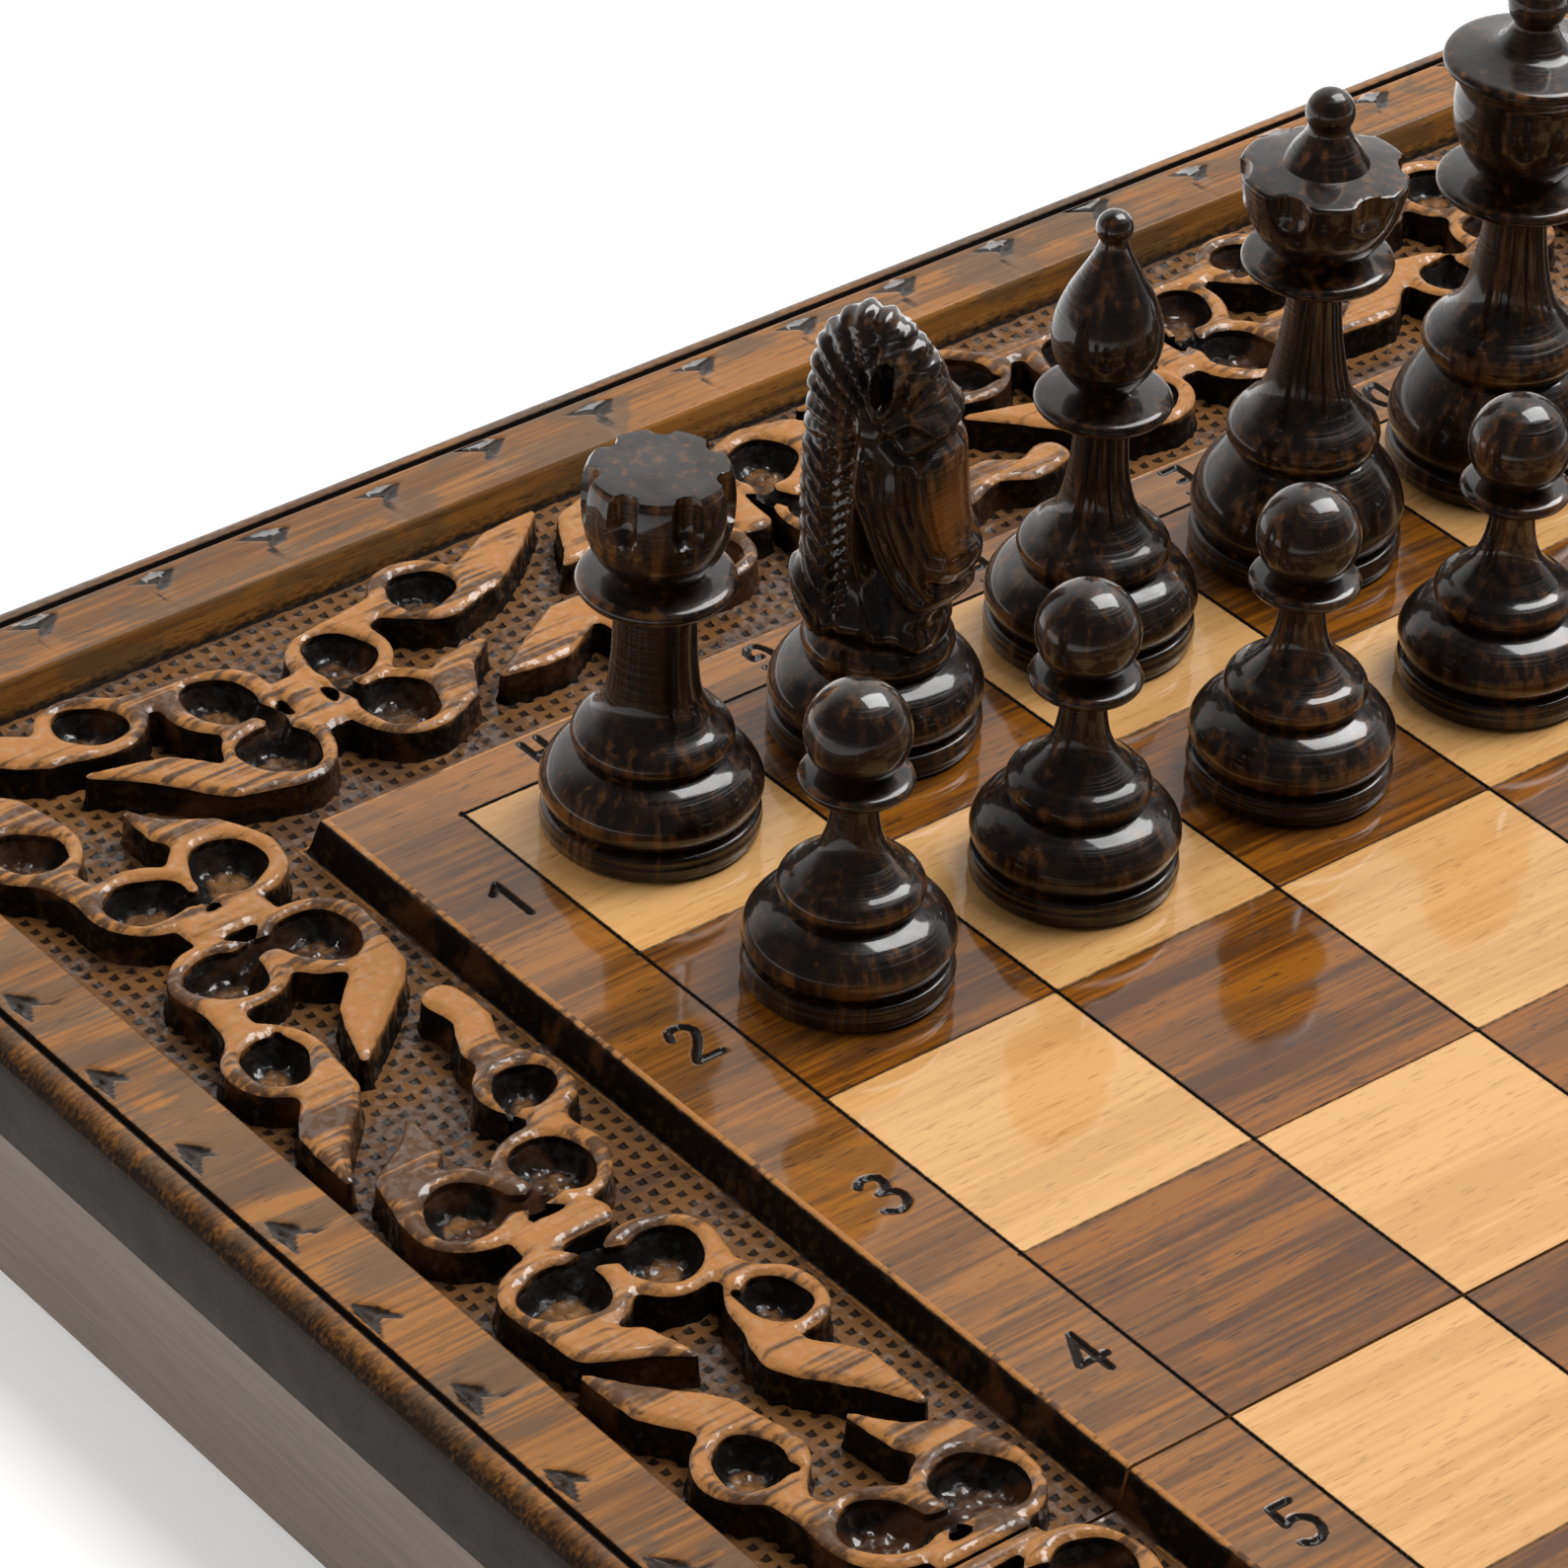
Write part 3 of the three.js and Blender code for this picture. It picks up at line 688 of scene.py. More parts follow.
@dataclass
class TopBoard:
    """One half of the carved top: squares, border strip, channel, scrolls and rim."""

    side: int
    square: float = 48.0
    seam: float = 0.3
    panel_x: float = 205.0
    panel_y: float = 212.0
    panel_ease: float = 1.2
    rim_in: float = 269.0
    outer: float = 290.0
    edge_round: float = 5.0
    groove_in: float = 5.5
    groove_wide: float = 1.2
    channel_deep: float = 7.0
    channel_slope: float = 1.5
    scroll_sunk: float = 0.4
    scroll_fillet: float = 2.8
    bowl_fillet: float = 0.8
    bowl_share: float = 0.94
    thick: float = 18.0
    top_z: float = 50.15
    sheet_cell: float = 0.85
    line_burnt: float = 0.55
    line_scored: float = 0.35
    line_margin: float = 0.5
    number_high: float = 9.5
    number_share: float = 0.385
    letter_high: float = 7.8
    letter_out: float = 6.6
    letter_along: float = 0.45
    strip_stain: float = 0.78
    rim_stain: float = 0.75
    gouge_pitch: float = 24.0
    gouge_out: float = 281.2

    BURNT, SCORED = (0.75, 0.45), (0.55, 0.15)
    TONES = 400
    GOUGE = (
        (((0.6, 0.3), (4.6, 2.4), (9.2, 6.0)), (0.5, 1.8, 0.2)),
        (((0.9, 0.2), (5.2, 0.6), (11.4, -0.9)), (0.6, 2.3, 0.25)),
    )

    def __post_init__(self) -> None:
        """Seeds this half's hand-carved wander."""
        self.random = np.random.default_rng(SEED + self.side)
        self.grid = 4 * self.square
        self.squares_reach = self.grid + self.line_burnt / 2 + self.line_margin
        self.numbers_at = self.grid + (self.panel_y - self.grid) * self.number_share

    def write(self, skin: Skin, part: str, finish: bpy.types.Material, crease: float) -> None:
        """Lifts a skin to the board's top, turns it to its own side and seats it."""
        skin.points = [p + (0, 0, self.top_z) for p in skin.points]
        if self.side < 0:
            skin.mirrored()
        name = "dark_side" if self.side < 0 else "light_side"
        body = "root" if self.side < 0 else "light_side"
        seat(skin.build(f"{name}_{part}", finish, crease), body, "carved_board", f"{name}_top_board")

    def squares(self, skin: Skin) -> None:
        """The squares, with burnt lines between files and thin scored lines between ranks."""

        def marked(limits: tuple, at: list, wide: list) -> np.ndarray:
            """Lines at each edge of each V-shaped line, at its bottom and just outside it."""
            out = set(limits)
            for a, w in zip(at, wide):
                out |= {round(a + s * o, 4) for s in (-1, 0, 1) for o in (w / 2, w / 2 + self.line_margin)}
            return np.array(sorted(v for v in out | set(at) if limits[0] <= v <= limits[1]))

        reach = self.squares_reach
        rank_at = [self.square * k for k in range(1, 5)]
        rank_wide = [self.line_scored] * 3 + [self.line_burnt]
        file_at = [self.square * (k - 4) for k in range(9)]
        file_wide = [self.line_burnt] * 9
        xs = marked((self.seam, reach), rank_at, rank_wide)
        ys = marked((-reach, reach), file_at, file_wide)
        points, faces = grid_patch(xs, ys)
        x, y = points[:, 0], points[:, 1]
        burn, dip = np.zeros(len(points)), np.zeros(len(points))
        for values, at, wide in ((x, rank_at, rank_wide), (y, file_at, file_wide)):
            for a, w in zip(at, wide):
                tone, depth = self.BURNT if w == self.line_burnt else self.SCORED
                gap = np.abs(values - a)
                burn = np.maximum(burn, np.where(gap < w / 2 + 0.01, tone, 0.0))
                dip = np.maximum(dip, np.where(gap < 0.01, depth, 0.0))
        points[:, 2] = -dip
        self._split_cells(skin, points, faces, burn)

    def _split_cells(self, skin: Skin, points: np.ndarray, faces: np.ndarray, burn: np.ndarray) -> None:
        """Adds each face with its own points, so that the stain stops dead at a line."""
        corners = points[faces]
        centre = corners.mean(1)
        rank = np.floor(self.side * centre[:, 0] / self.square)
        file = np.floor(centre[:, 1] / self.square)
        wander = np.random.default_rng(7).uniform(-0.05, 0.05, self.TONES)
        tone = ((rank + file) % 2 != 0) + wander[((rank * 17 + file * 31) % self.TONES).astype(int)]
        outside = (np.abs(centre[:, :2]) > self.grid).any(1)
        tone = np.where(outside, self.strip_stain, tone)
        skin.add(
            corners.reshape(-1, 3), np.arange(len(faces) * 4).reshape(-1, 4),
            stain=np.repeat(tone, 4), burn=burn[faces].ravel(),
        )

    def signs(self) -> list[np.ndarray]:
        """All strokes of the letters and numbers on this half, in its own mirrored axes."""
        strokes = []
        for k, (number, letter) in enumerate(zip("12345678", "HGFEDCBA")):
            centre = (k + 0.5) * self.square - self.grid
            if centre * self.side > 0:
                for edge in (-1, 1):
                    spot = (centre, edge * self.numbers_at)
                    strokes += Glyphs.strokes(number, spot, (-1, 0), (0, 1), self.number_high)
            along = (k + self.letter_along) * self.square - self.grid
            spot = (self.side * (self.grid + self.letter_out), along)
            strokes += Glyphs.strokes(letter, spot, (-self.side, 0), (0, self.side), self.letter_high)
        return [s * (self.side, 1) for s in strokes]

    def strips(self, skin: Skin) -> None:
        """The border strip round the squares, with its burnt letters and numbers."""
        strokes = self.signs()
        start, fine = self.squares_reach, 0.40
        flat_x, flat_y = self.panel_x - self.panel_ease, self.panel_y - self.panel_ease
        numbers = [(k + 0.5) * self.square for k in range(4)]
        letters = [(k + self.letter_along) * self.square - self.grid for k in range(8)]
        parts = [(
            lines_between(start, flat_x, 6, [self.grid + self.letter_out], 5.0, fine),
            lines_between(-start, start, 24, letters, 3.8, fine),
        )]
        for edge in (-1, 1):
            rows = lines_between(start, flat_y, 6, [self.numbers_at], 4.4, fine)
            parts.append((
                lines_between(self.seam, flat_x, 24, numbers, 6.4, fine), rows if edge > 0 else -rows[::-1]
            ))
        for xs, ys in parts:
            points, faces = grid_patch(xs, ys)
            gap = np.full(len(points), 9.0)
            for stroke in strokes:
                near = (np.abs(points[:, :2] - stroke.mean(0)) < 9).all(1)
                gap[near] = np.minimum(gap[near], stroke_distance(points[near, :2], stroke))
            points[:, 2] = -0.55 * (1 - smooth(gap, 0.1, 0.8))
            skin.add(points, faces, stain=self.strip_stain, burn=1.15 * (1 - smooth(gap, 0.45, 1.15)))

    def frame_sweep(self, skin: Skin, profile: Sequence, stain: float, burn: Sequence) -> None:
        """Runs a moulding round this half's three sides with mitred corners.

        Args:
            skin: what it is added to.
            profile: (distance out along x, distance out along y, height) of each edge.
            stain: its stain mark.
            burn: its burn mark at each edge.
        """
        rows = []
        for out_x, out_y, z in profile:
            path = [(self.seam, -out_y, z), (out_x, -out_y, z), (out_x, out_y, z), (self.seam, out_y, z)]
            legs = zip(path[:-1], path[1:], (5, 10, 5))
            run = [np.linspace(a, b, count, endpoint=False) for a, b, count in legs]
            rows.append(np.vstack([*run, path[-1]]))
        points = np.stack(rows)
        deep, wide = points.shape[:2]
        along = np.arange(deep * wide).reshape(deep, wide).T
        faces = quads(along[:, :-1], along[:, 1:])
        skin.add(points.reshape(-1, 3), faces, stain=stain, burn=np.repeat(np.asarray(burn, float), wide))

    def panel_edge(self, skin: Skin) -> None:
        """The drop from the border strip to the channel, scorched black."""
        foot, low = self.channel_slope, -self.channel_deep
        drops = ((-self.panel_ease, 0.0, 0.0), (-0.6, -0.08, 0.1), (-0.15, -0.4, 0.6), (0.1, -1.2, 0.95),
                 (0.9, -5.0, 1.0), (foot, low, 0.8), (foot + 1.0, low, 0.2))
        profile = [(self.panel_x + o, self.panel_y + o, z) for o, z, _ in drops]
        self.frame_sweep(skin, profile, self.strip_stain, [b for *_, b in drops])

    def channel(self, skin: Skin) -> None:
        """The channel's floor, punched all over with small pits."""
        foot_x, foot_y = self.panel_x + self.channel_slope + 0.9, self.panel_y + self.channel_slope + 0.9
        start, edge = self.seam, self.rim_in - self.channel_slope
        spans = ((foot_x, edge, -foot_y, foot_y), (start, edge, foot_y, edge), (start, edge, -edge, -foot_y))

        def steps(low: float, high: float, pitch: float) -> np.ndarray:
            """Half-pitch lines kept on one lattice over the whole board."""
            half = pitch / 2
            inner = np.arange(math.ceil(low / half), math.floor(high / half) + 1) * half
            inner = inner[(inner > low + 0.2) & (inner < high - 0.2)]
            return np.concatenate([[low], inner, [high]])

        for x0, x1, y0, y1 in spans:
            points, faces = grid_patch(steps(x0, x1, PIT_PITCH[0]), steps(y0, y1, PIT_PITCH[1]))
            count, flat = len(points), points[:, :2].copy()
            odd = (np.abs(np.round(flat / (np.array(PIT_PITCH) / 2)) % 2 - 1) < 0.1).all(1)
            inside = (flat[:, 0] > x0 + 0.3) & (flat[:, 0] < x1 - 0.3) & (flat[:, 1] > y0 + 0.3)
            pit = (odd & inside & (flat[:, 1] < y1 - 0.3)) * self.random.uniform(0.3, 1.0, count)
            points[:, :2] += self.random.uniform(-0.3, 0.3, (count, 2)) * (inside & (pit > 0))[:, None]
            rough = self.random.uniform(-0.12, 0.12, count) * inside
            points[:, 2] = -self.channel_deep - 0.8 * pit + rough
            skin.add(points, faces, floor=1.0, burn=0.20 + 0.08 * self.random.standard_normal(count))

    def scrolls(self, skin: Skin) -> None:
        """Every carved scroll of this half: five along the outer side, three along each short side."""
        middle_x, middle_y = (self.panel_x + self.rim_in) / 2, (self.panel_y + self.rim_in) / 2
        for k in range(5):
            kind = ArmSide.OUTER if k % 2 == 0 else ArmSide.INNER
            along = (k - 2) * 2 * self.square
            self.one_scroll(skin, kind, (middle_x, along), (0, 1), (-1, 0))
            if along <= 0:
                for edge in (-1, 1):
                    self.one_scroll(skin, kind, (-along, edge * middle_y), (1, 0), (0, -edge))

    def wobble(self, most: float) -> list[tuple[int, float, float]]:
        """How a hand-cut ring leaves its circle: number of lobes, depth and turn of each wave."""
        draw = self.random.uniform
        return [(k, most * draw(0.5, 1.0) / (k - 1), draw(0, 6.28)) for k in (2, 3, 5)]

    def one_scroll(self, skin: Skin, kind: ArmSide, centre: tuple, run: tuple, inward: tuple) -> None:
        """Carves one scroll.

        Args:
            skin: what it is added to.
            kind: which side its arms lie on.
            centre: its middle on the board.
            run: the direction of the channel.
            inward: the direction of the squares.
        """
        shape, unit = SCROLLS[kind], self.square
        centre, run, inward = (np.array(v, float) for v in (centre, run, inward))
        rings, bowls, leaves, openings = [], [], [], []
        for mirror in (-1, 1):
            shake = self.random.uniform(-0.014, 0.014, 80).tolist()

            def put(spot: tuple) -> np.ndarray:
                """A place of the scroll on the board, with the carver's wander."""
                s, t = mirror * spot[0] + shake.pop(), spot[1] + shake.pop()
                return centre + run * s * unit + inward * t * unit

            centres = [put(r) for r in shape.rings]
            rings += [(c, r[2] * unit, self.wobble(0.045)) for c, r in zip(centres, shape.rings)]
            bowls += [(c, b * unit * self.bowl_share, self.wobble(0.10)) for c, b in zip(centres, shape.bowls)]
            openings += [(spline([put(s) for s in stops], 2.0), widths) for stops, widths in shape.openings]
            tail = shape.first_leaf if mirror < 0 else shape.second_leaf
            grown = (*shape.leaves, tail)
            leaves += [(spline([put(s) for s in stops], 4.0), widths) for stops, widths in grown]

        def round_gap(at: np.ndarray, ring: tuple) -> np.ndarray:
            """Distance to a hand-cut ring."""
            middle, radius, waves = ring
            around = np.arctan2(*(at - middle).T)
            lobes = sum(a * np.sin(k * around + p) for k, a, p in waves)
            return np.hypot(*(at - middle).T) - radius * (1 + lobes)

        def stroke_gap(at: np.ndarray, line: np.ndarray, widths: tuple) -> np.ndarray:
            """Distance to a leaf or an opening."""
            share = (np.linspace(0, 1, len(stops)) for stops in (line, widths))
            return stroke_distance(at, line, np.interp(*share, widths) * unit)

        def together(at: np.ndarray, rounds: list, strokes: list, fillet: float) -> np.ndarray:
            """Distance to round shapes and strokes that run into each other."""
            gap = np.full(len(at), 1e3)
            for ring in rounds:
                gap = blended(gap, round_gap(at, ring), fillet)
            for line, widths in strokes:
                gap = blended(gap, stroke_gap(at, line, widths), fillet)
            return gap

        def solid(at: np.ndarray) -> np.ndarray:
            """Distance to the scroll's outline, cut off at the seam."""
            return np.maximum(together(at, rings, leaves, self.scroll_fillet), self.seam + 0.05 - at[:, 0])

        def hole(at: np.ndarray) -> np.ndarray:
            """Distance to the outline of the scooped bowls and the openings between them."""
            return together(at, bowls, openings, self.bowl_fillet)

        def band(at: np.ndarray) -> np.ndarray:
            """Distance to the outline of what is left standing."""
            return np.maximum(solid(at), -hole(at))

        def scoop(at: np.ndarray) -> np.ndarray:
            """Distance to the outline of a bowl's floor, which runs on a little under its wall."""
            return np.maximum(hole(at) - 0.7, self.seam + 0.05 - at[:, 0])

        reach = np.abs(run) * 1.5 * unit + np.abs(inward) * 0.62 * unit
        dish, dish_triangles, _ = cut_sheet(scoop, centre - reach, centre + reach, self.sheet_cell)
        sink = smooth(-hole(dish), -0.8, 2.6)
        facets = np.sin(dish[:, 0] * 1.9 + 1.3 * np.sin(dish[:, 1] * 1.1)) * np.sin(dish[:, 1] * 1.7)
        dish_z = -1.9 - 3.9 * sink + 0.42 * facets * sink + self.random.uniform(-0.13, 0.13, len(dish))
        # Scorch in the bowls, plus painted shade: darkest on the bowl walls, lighter towards the middle of the
        # floor.
        bowl_char_and_shade = 0.92 - 0.42 * smooth(-hole(dish), 1.2, 4.2)
        skin.add(np.column_stack([dish, dish_z]), dish_triangles, burn=bowl_char_and_shade)
        points, triangles, rim = cut_sheet(band, centre - reach, centre + reach, self.sheet_cell)
        depth = np.maximum(0, -band(points))
        crown = (1 - np.clip(depth / 1.7, 0, 1)) ** 2
        lift = -self.scroll_sunk - crown
        skin.add(np.column_stack([points, lift]), triangles, burn=0.42 * crown)
        ends, back = np.unique(rim, return_inverse=True)
        back = back.reshape(-1, 2)
        top = np.column_stack([points[ends], lift[ends]])
        out = np.zeros((len(ends), 2))
        edge = points[rim[:, 1]] - points[rim[:, 0]]
        for end in (0, 1):
            np.add.at(out, back[:, end], np.stack([edge[:, 1], -edge[:, 0]], -1))
        out /= np.maximum(np.linalg.norm(out, axis=1), 1e-6)[:, None]
        # Scorch on every wall, plus painted shade: walls that face -y, away from the key light, are made
        # darker; each wall also darkens towards its foot.
        wall_char_and_shade = 0.72 + 0.30 * np.clip(-out[:, 1], -0.9, 1)
        rows, tones = [top], [wall_char_and_shade * 0.7]
        for share, draft in ((0.22, 0.1), (0.75, 0.3), (1.0, 0.8)):
            z = top[:, 2] + (-self.channel_deep - 0.3 - top[:, 2]) * share
            off_seam = points[ends][:, :1] > self.seam + 0.2
            rows.append(np.column_stack([points[ends] + out * draft * off_seam, z]))
            tones.append(wall_char_and_shade + 0.25 * share + self.random.uniform(-0.1, 0.1, len(ends)))
        below = [back + k * len(ends) for k in range(4)]
        faces = np.vstack([np.hstack([low, high[:, ::-1]]) for high, low in zip(below[:-1], below[1:])])
        skin.add(np.vstack(rows), faces, burn=np.clip(np.concatenate(tones), 0, 1))

    def rim(self, skin: Skin) -> None:
        """The rim: channel wall, chip-carved band, groove, rounded edge and side."""
        inside, outer, low, curve = self.rim_in, self.outer, -self.thick, self.edge_round
        groove = outer - self.groove_in - self.groove_wide
        flat_in, flat_out = inside + 0.5, groove - 0.5
        foot = (inside - self.channel_slope, -self.channel_deep)
        wall = [(foot[0] - 0.6, foot[1], 0.85), (foot[0], foot[1] + 0.5, 0.7), (inside - 0.7, -3.5, 0.25),
                (inside - 0.1, -0.9, 0.1), (inside + 0.1, -0.3, 0.0), (flat_in, 0.0, 0.0)]
        arc = [(outer - curve + curve * math.sin(a), curve * (math.cos(a) - 1), 0.34 + 0.46 * math.sin(a))
               for a in np.linspace(0, math.pi / 2, 7)]
        edge = [(flat_out, 0, 0), (groove - 0.1, -0.1, 0.7), (groove + 0.2, -1.1, 1), (groove + 1.0, -1.1, 1),
                (groove + 1.3, -0.1, 0.75), *arc, (outer, low + 1.2, 0.78), (outer - 0.8, low, 0.9),
                (outer - 3, low, 0.6)]
        for moulding, stain in ((wall, 0.7), (edge, self.rim_stain)):
            self.frame_sweep(skin, [(o, o, z) for o, z, _ in moulding], stain, [b for *_, b in moulding])
        along = [v for v in np.arange(-11, 12) * self.gouge_pitch if abs(v) < flat_out - 24]
        half = [v for v in along if 0 < v < flat_in - 12]
        rows = lines_between(flat_in, flat_out, 5, [self.gouge_out + 3], 6.6, 0.55)
        self.gouges(skin, rows, lines_between(-flat_out, flat_out, 12, along, 9.4, 0.6), along, (1, 0))
        columns = lines_between(self.seam, flat_in, 12, half, 9.4, 0.6)
        for end in (-1, 1):
            self.gouges(skin, columns, rows if end > 0 else -rows[::-1], half, (0, end))

    def gouges(self, skin: Skin, xs: np.ndarray, ys: np.ndarray, spots: Sequence[float], out: tuple) -> None:
        """One side of the rim's flat band, chipped with a row of swept-back gouge cuts.

        Args:
            skin: what it is added to.
            xs: its grid lines across x.
            ys: its grid lines across y.
            spots: where each chip lies along the side.
            out: the direction away from the squares.
        """
        points, faces = grid_patch(xs, ys)
        out = np.array(out, float)
        ahead = np.array([out[1] * self.side, -out[0] * self.side])
        cut = np.zeros(len(points))
        for spot in spots:
            turn = self.random.uniform(-0.10, 0.10)
            nose = out * (self.gouge_out + self.random.uniform(-0.8, 0.8)) + np.abs(ahead) * spot + ahead * 4.2
            near = (np.abs(points[:, :2] - nose) < 18).all(1)
            run = (nose - points[near, :2]) @ ahead
            rise = (nose - points[near, :2]) @ out + turn * run
            local = np.stack([run, rise], -1) / self.random.uniform(0.92, 1.06)
            deep = np.maximum(*(-stroke_distance(local, np.array(line), wide) for line, wide in self.GOUGE))
            cut[near] = np.maximum(cut[near], np.clip(deep, 0, 2.6))
        points[:, 2] = -0.46 * cut
        burn, wet = 0.74 * smooth(cut, 0.0, 0.6), smooth(cut, 0.3, 0.9)
        skin.add(points, faces, stain=self.rim_stain, burn=burn, wet=wet)

    def underside(self, skin: Skin) -> None:
        """The flat underside and the cut face at the seam."""
        inner, low, start = self.outer - 3, -self.thick, self.seam
        below = np.array([(start, -inner, low), (start, inner, low), (inner, inner, low), (inner, -inner, low)])
        skin.add(below, [[0, 1, 2, 3]], stain=0.6, burn=0.1)
        deep, edge = -self.channel_deep - 0.4, self.rim_in - self.channel_slope
        foot = self.panel_y + self.channel_slope
        half = [(self.outer, low + 1.2), (self.outer, -self.edge_round), (self.outer - self.edge_round, 0),
                (self.rim_in, 0), (edge, deep), (foot, deep), (self.panel_y, -0.2), (self.grid, 0)]
        outline = half + [(-y, z) for y, z in reversed(half)] + [(-self.outer, low), (self.outer, low)]
        cut_face = np.array([(start + 0.02, y, z) for y, z in outline])
        skin.add(cut_face, [list(range(len(outline)))[::-1]], stain=0.5)

    def build(self, lacquer: bpy.types.Material, carving: bpy.types.Material, rim: bpy.types.Material) -> None:
        """Builds and seats every part of this half's top."""
        for part, finish, crease, steps in (
            ("squares", lacquer, 38, (self.squares, self.strips)),
            ("channel", carving, 60, (self.panel_edge, self.channel)),
            ("scrolls", carving, 45, (self.scrolls,)),
            ("rim", rim, 40, (self.rim, self.underside)),
        ):
            skin = Skin()
            for step in steps:
                step(skin)
            self.write(skin, part, finish, crease)


class Turning:
    """A turned outline drawn from the foot up, as radius and height in millimetres."""

    def __init__(self, radius: float) -> None:
        """Starts at the foot's bottom edge."""
        self.points = [np.array([radius, 0.0])]

    def line(self, radius: float, height: float) -> "Turning":
        """A straight cut."""
        self.points.append(np.array([radius, height], float))
        return self

    def bow(self, radius: float, height: float, bulge: float = 0.5) -> "Turning":
        """A rounded edge that stands out by bulge times half its length."""
        start, end = self.points[-1], np.array([radius, height], float)
        run = end - start
        out = np.array([run[1], -run[0]])
        for t in np.linspace(0, 1, 7)[1:]:
            self.points.append(start + run * t + out * bulge * 2 * t * (1 - t))
        return self

    def flow(self, *stops: tuple[float, float]) -> "Turning":
        """One smooth sweep of the gouge through the stops."""
        self.points += list(spline([self.points[-1], *stops], 1.1)[1:])
        return self

    def ball(self, height: float, radius: float, facets: int = 16) -> "Turning":
        """A ball on top, from where the outline meets it up to the axis."""
        start = math.asin(min(1.0, self.points[-1][0] / radius))
        for a in np.linspace(math.pi - start, 0.02, facets):
            self.points.append(np.array([radius * math.sin(a), height + radius * math.cos(a)]))
        return self

    def outline(self) -> np.ndarray:
        """The finished outline, without doubled points."""
        p = np.array(self.points)
        return p[np.concatenate([[True], np.linalg.norm(np.diff(p, axis=0), axis=1) > 0.02])]

    @classmethod
    def foot(cls, radius: float) -> "Turning":
        """The rounded foot with its groove, which every piece stands on."""
        foot = cls(radius - 1.4).bow(radius, 1.5, 0.6).bow(radius - 0.1, 3.2, 0.25)
        return foot.bow(radius - 1.5, 4.8, 0.7).line(radius - 2.0, 5.1)


@dataclass
class PieceKind:
    """One kind of turned piece."""

    outline: np.ndarray
    sides: int = 72
    bites: tuple[float, ...] = ()
    bite_radius: float = 0.0
    bite_centre: float = 0.0
    bite_foot: float = 0.0

    def skin(self, turn: float) -> Skin:
        """Turns the piece on its axis.

        Args:
            turn: how far round its carved head is set, in degrees.

        Returns:
            Its skin, with the axis at the origin.
        """
        angle = np.linspace(0, 2 * math.pi, self.sides, endpoint=False)
        radius = np.repeat(self.outline[:, :1], self.sides, 1)
        height = np.repeat(self.outline[:, 1:], self.sides, 1)
        rub = np.zeros_like(radius)
        grown = self.bite_radius * np.sqrt(np.clip((height - self.bite_foot) / 1.8, 0, 1))
        for bite in self.bites:
            away = (angle - math.radians(bite + turn) + math.pi) % (2 * math.pi) - math.pi
            across = self.bite_centre * np.sin(away)[None] * np.ones_like(radius)
            hit = (np.abs(across) < grown) & (np.cos(away)[None] > 0) & (height > self.bite_foot)
            limit = self.bite_centre * np.cos(away)[None] - np.sqrt(np.clip(grown**2 - across**2, 0, None))
            cut = hit & (radius > limit)
            rub = np.where(cut, 1.0, rub)
            radius = np.where(cut, limit + 0.01 * (radius - limit), radius)
        points = np.stack([radius * np.cos(angle), radius * np.sin(angle), height], -1).reshape(-1, 3)
        rows, wide = radius.shape
        index = np.arange(rows * wide).reshape(rows, wide)
        after = np.roll(index, -1, 1)
        faces = quads(index, after).tolist() + [index[0][::-1].tolist(), index[-1].tolist()]
        skin = Skin()
        rim = np.gradient(np.gradient(self.outline[:, 0])) < -0.25
        flat_top = (self.outline[:, 1] > self.outline[-1, 1] - 0.3) & (self.outline[-2, 0] > 8)
        rubbed = np.clip(rub.ravel() * 0.25 + np.repeat(rim * 0.25 - 0.3 * flat_top, wide), -1, 1)
        skin.add(points, faces, rub=rubbed, burn=0.0)
        return skin


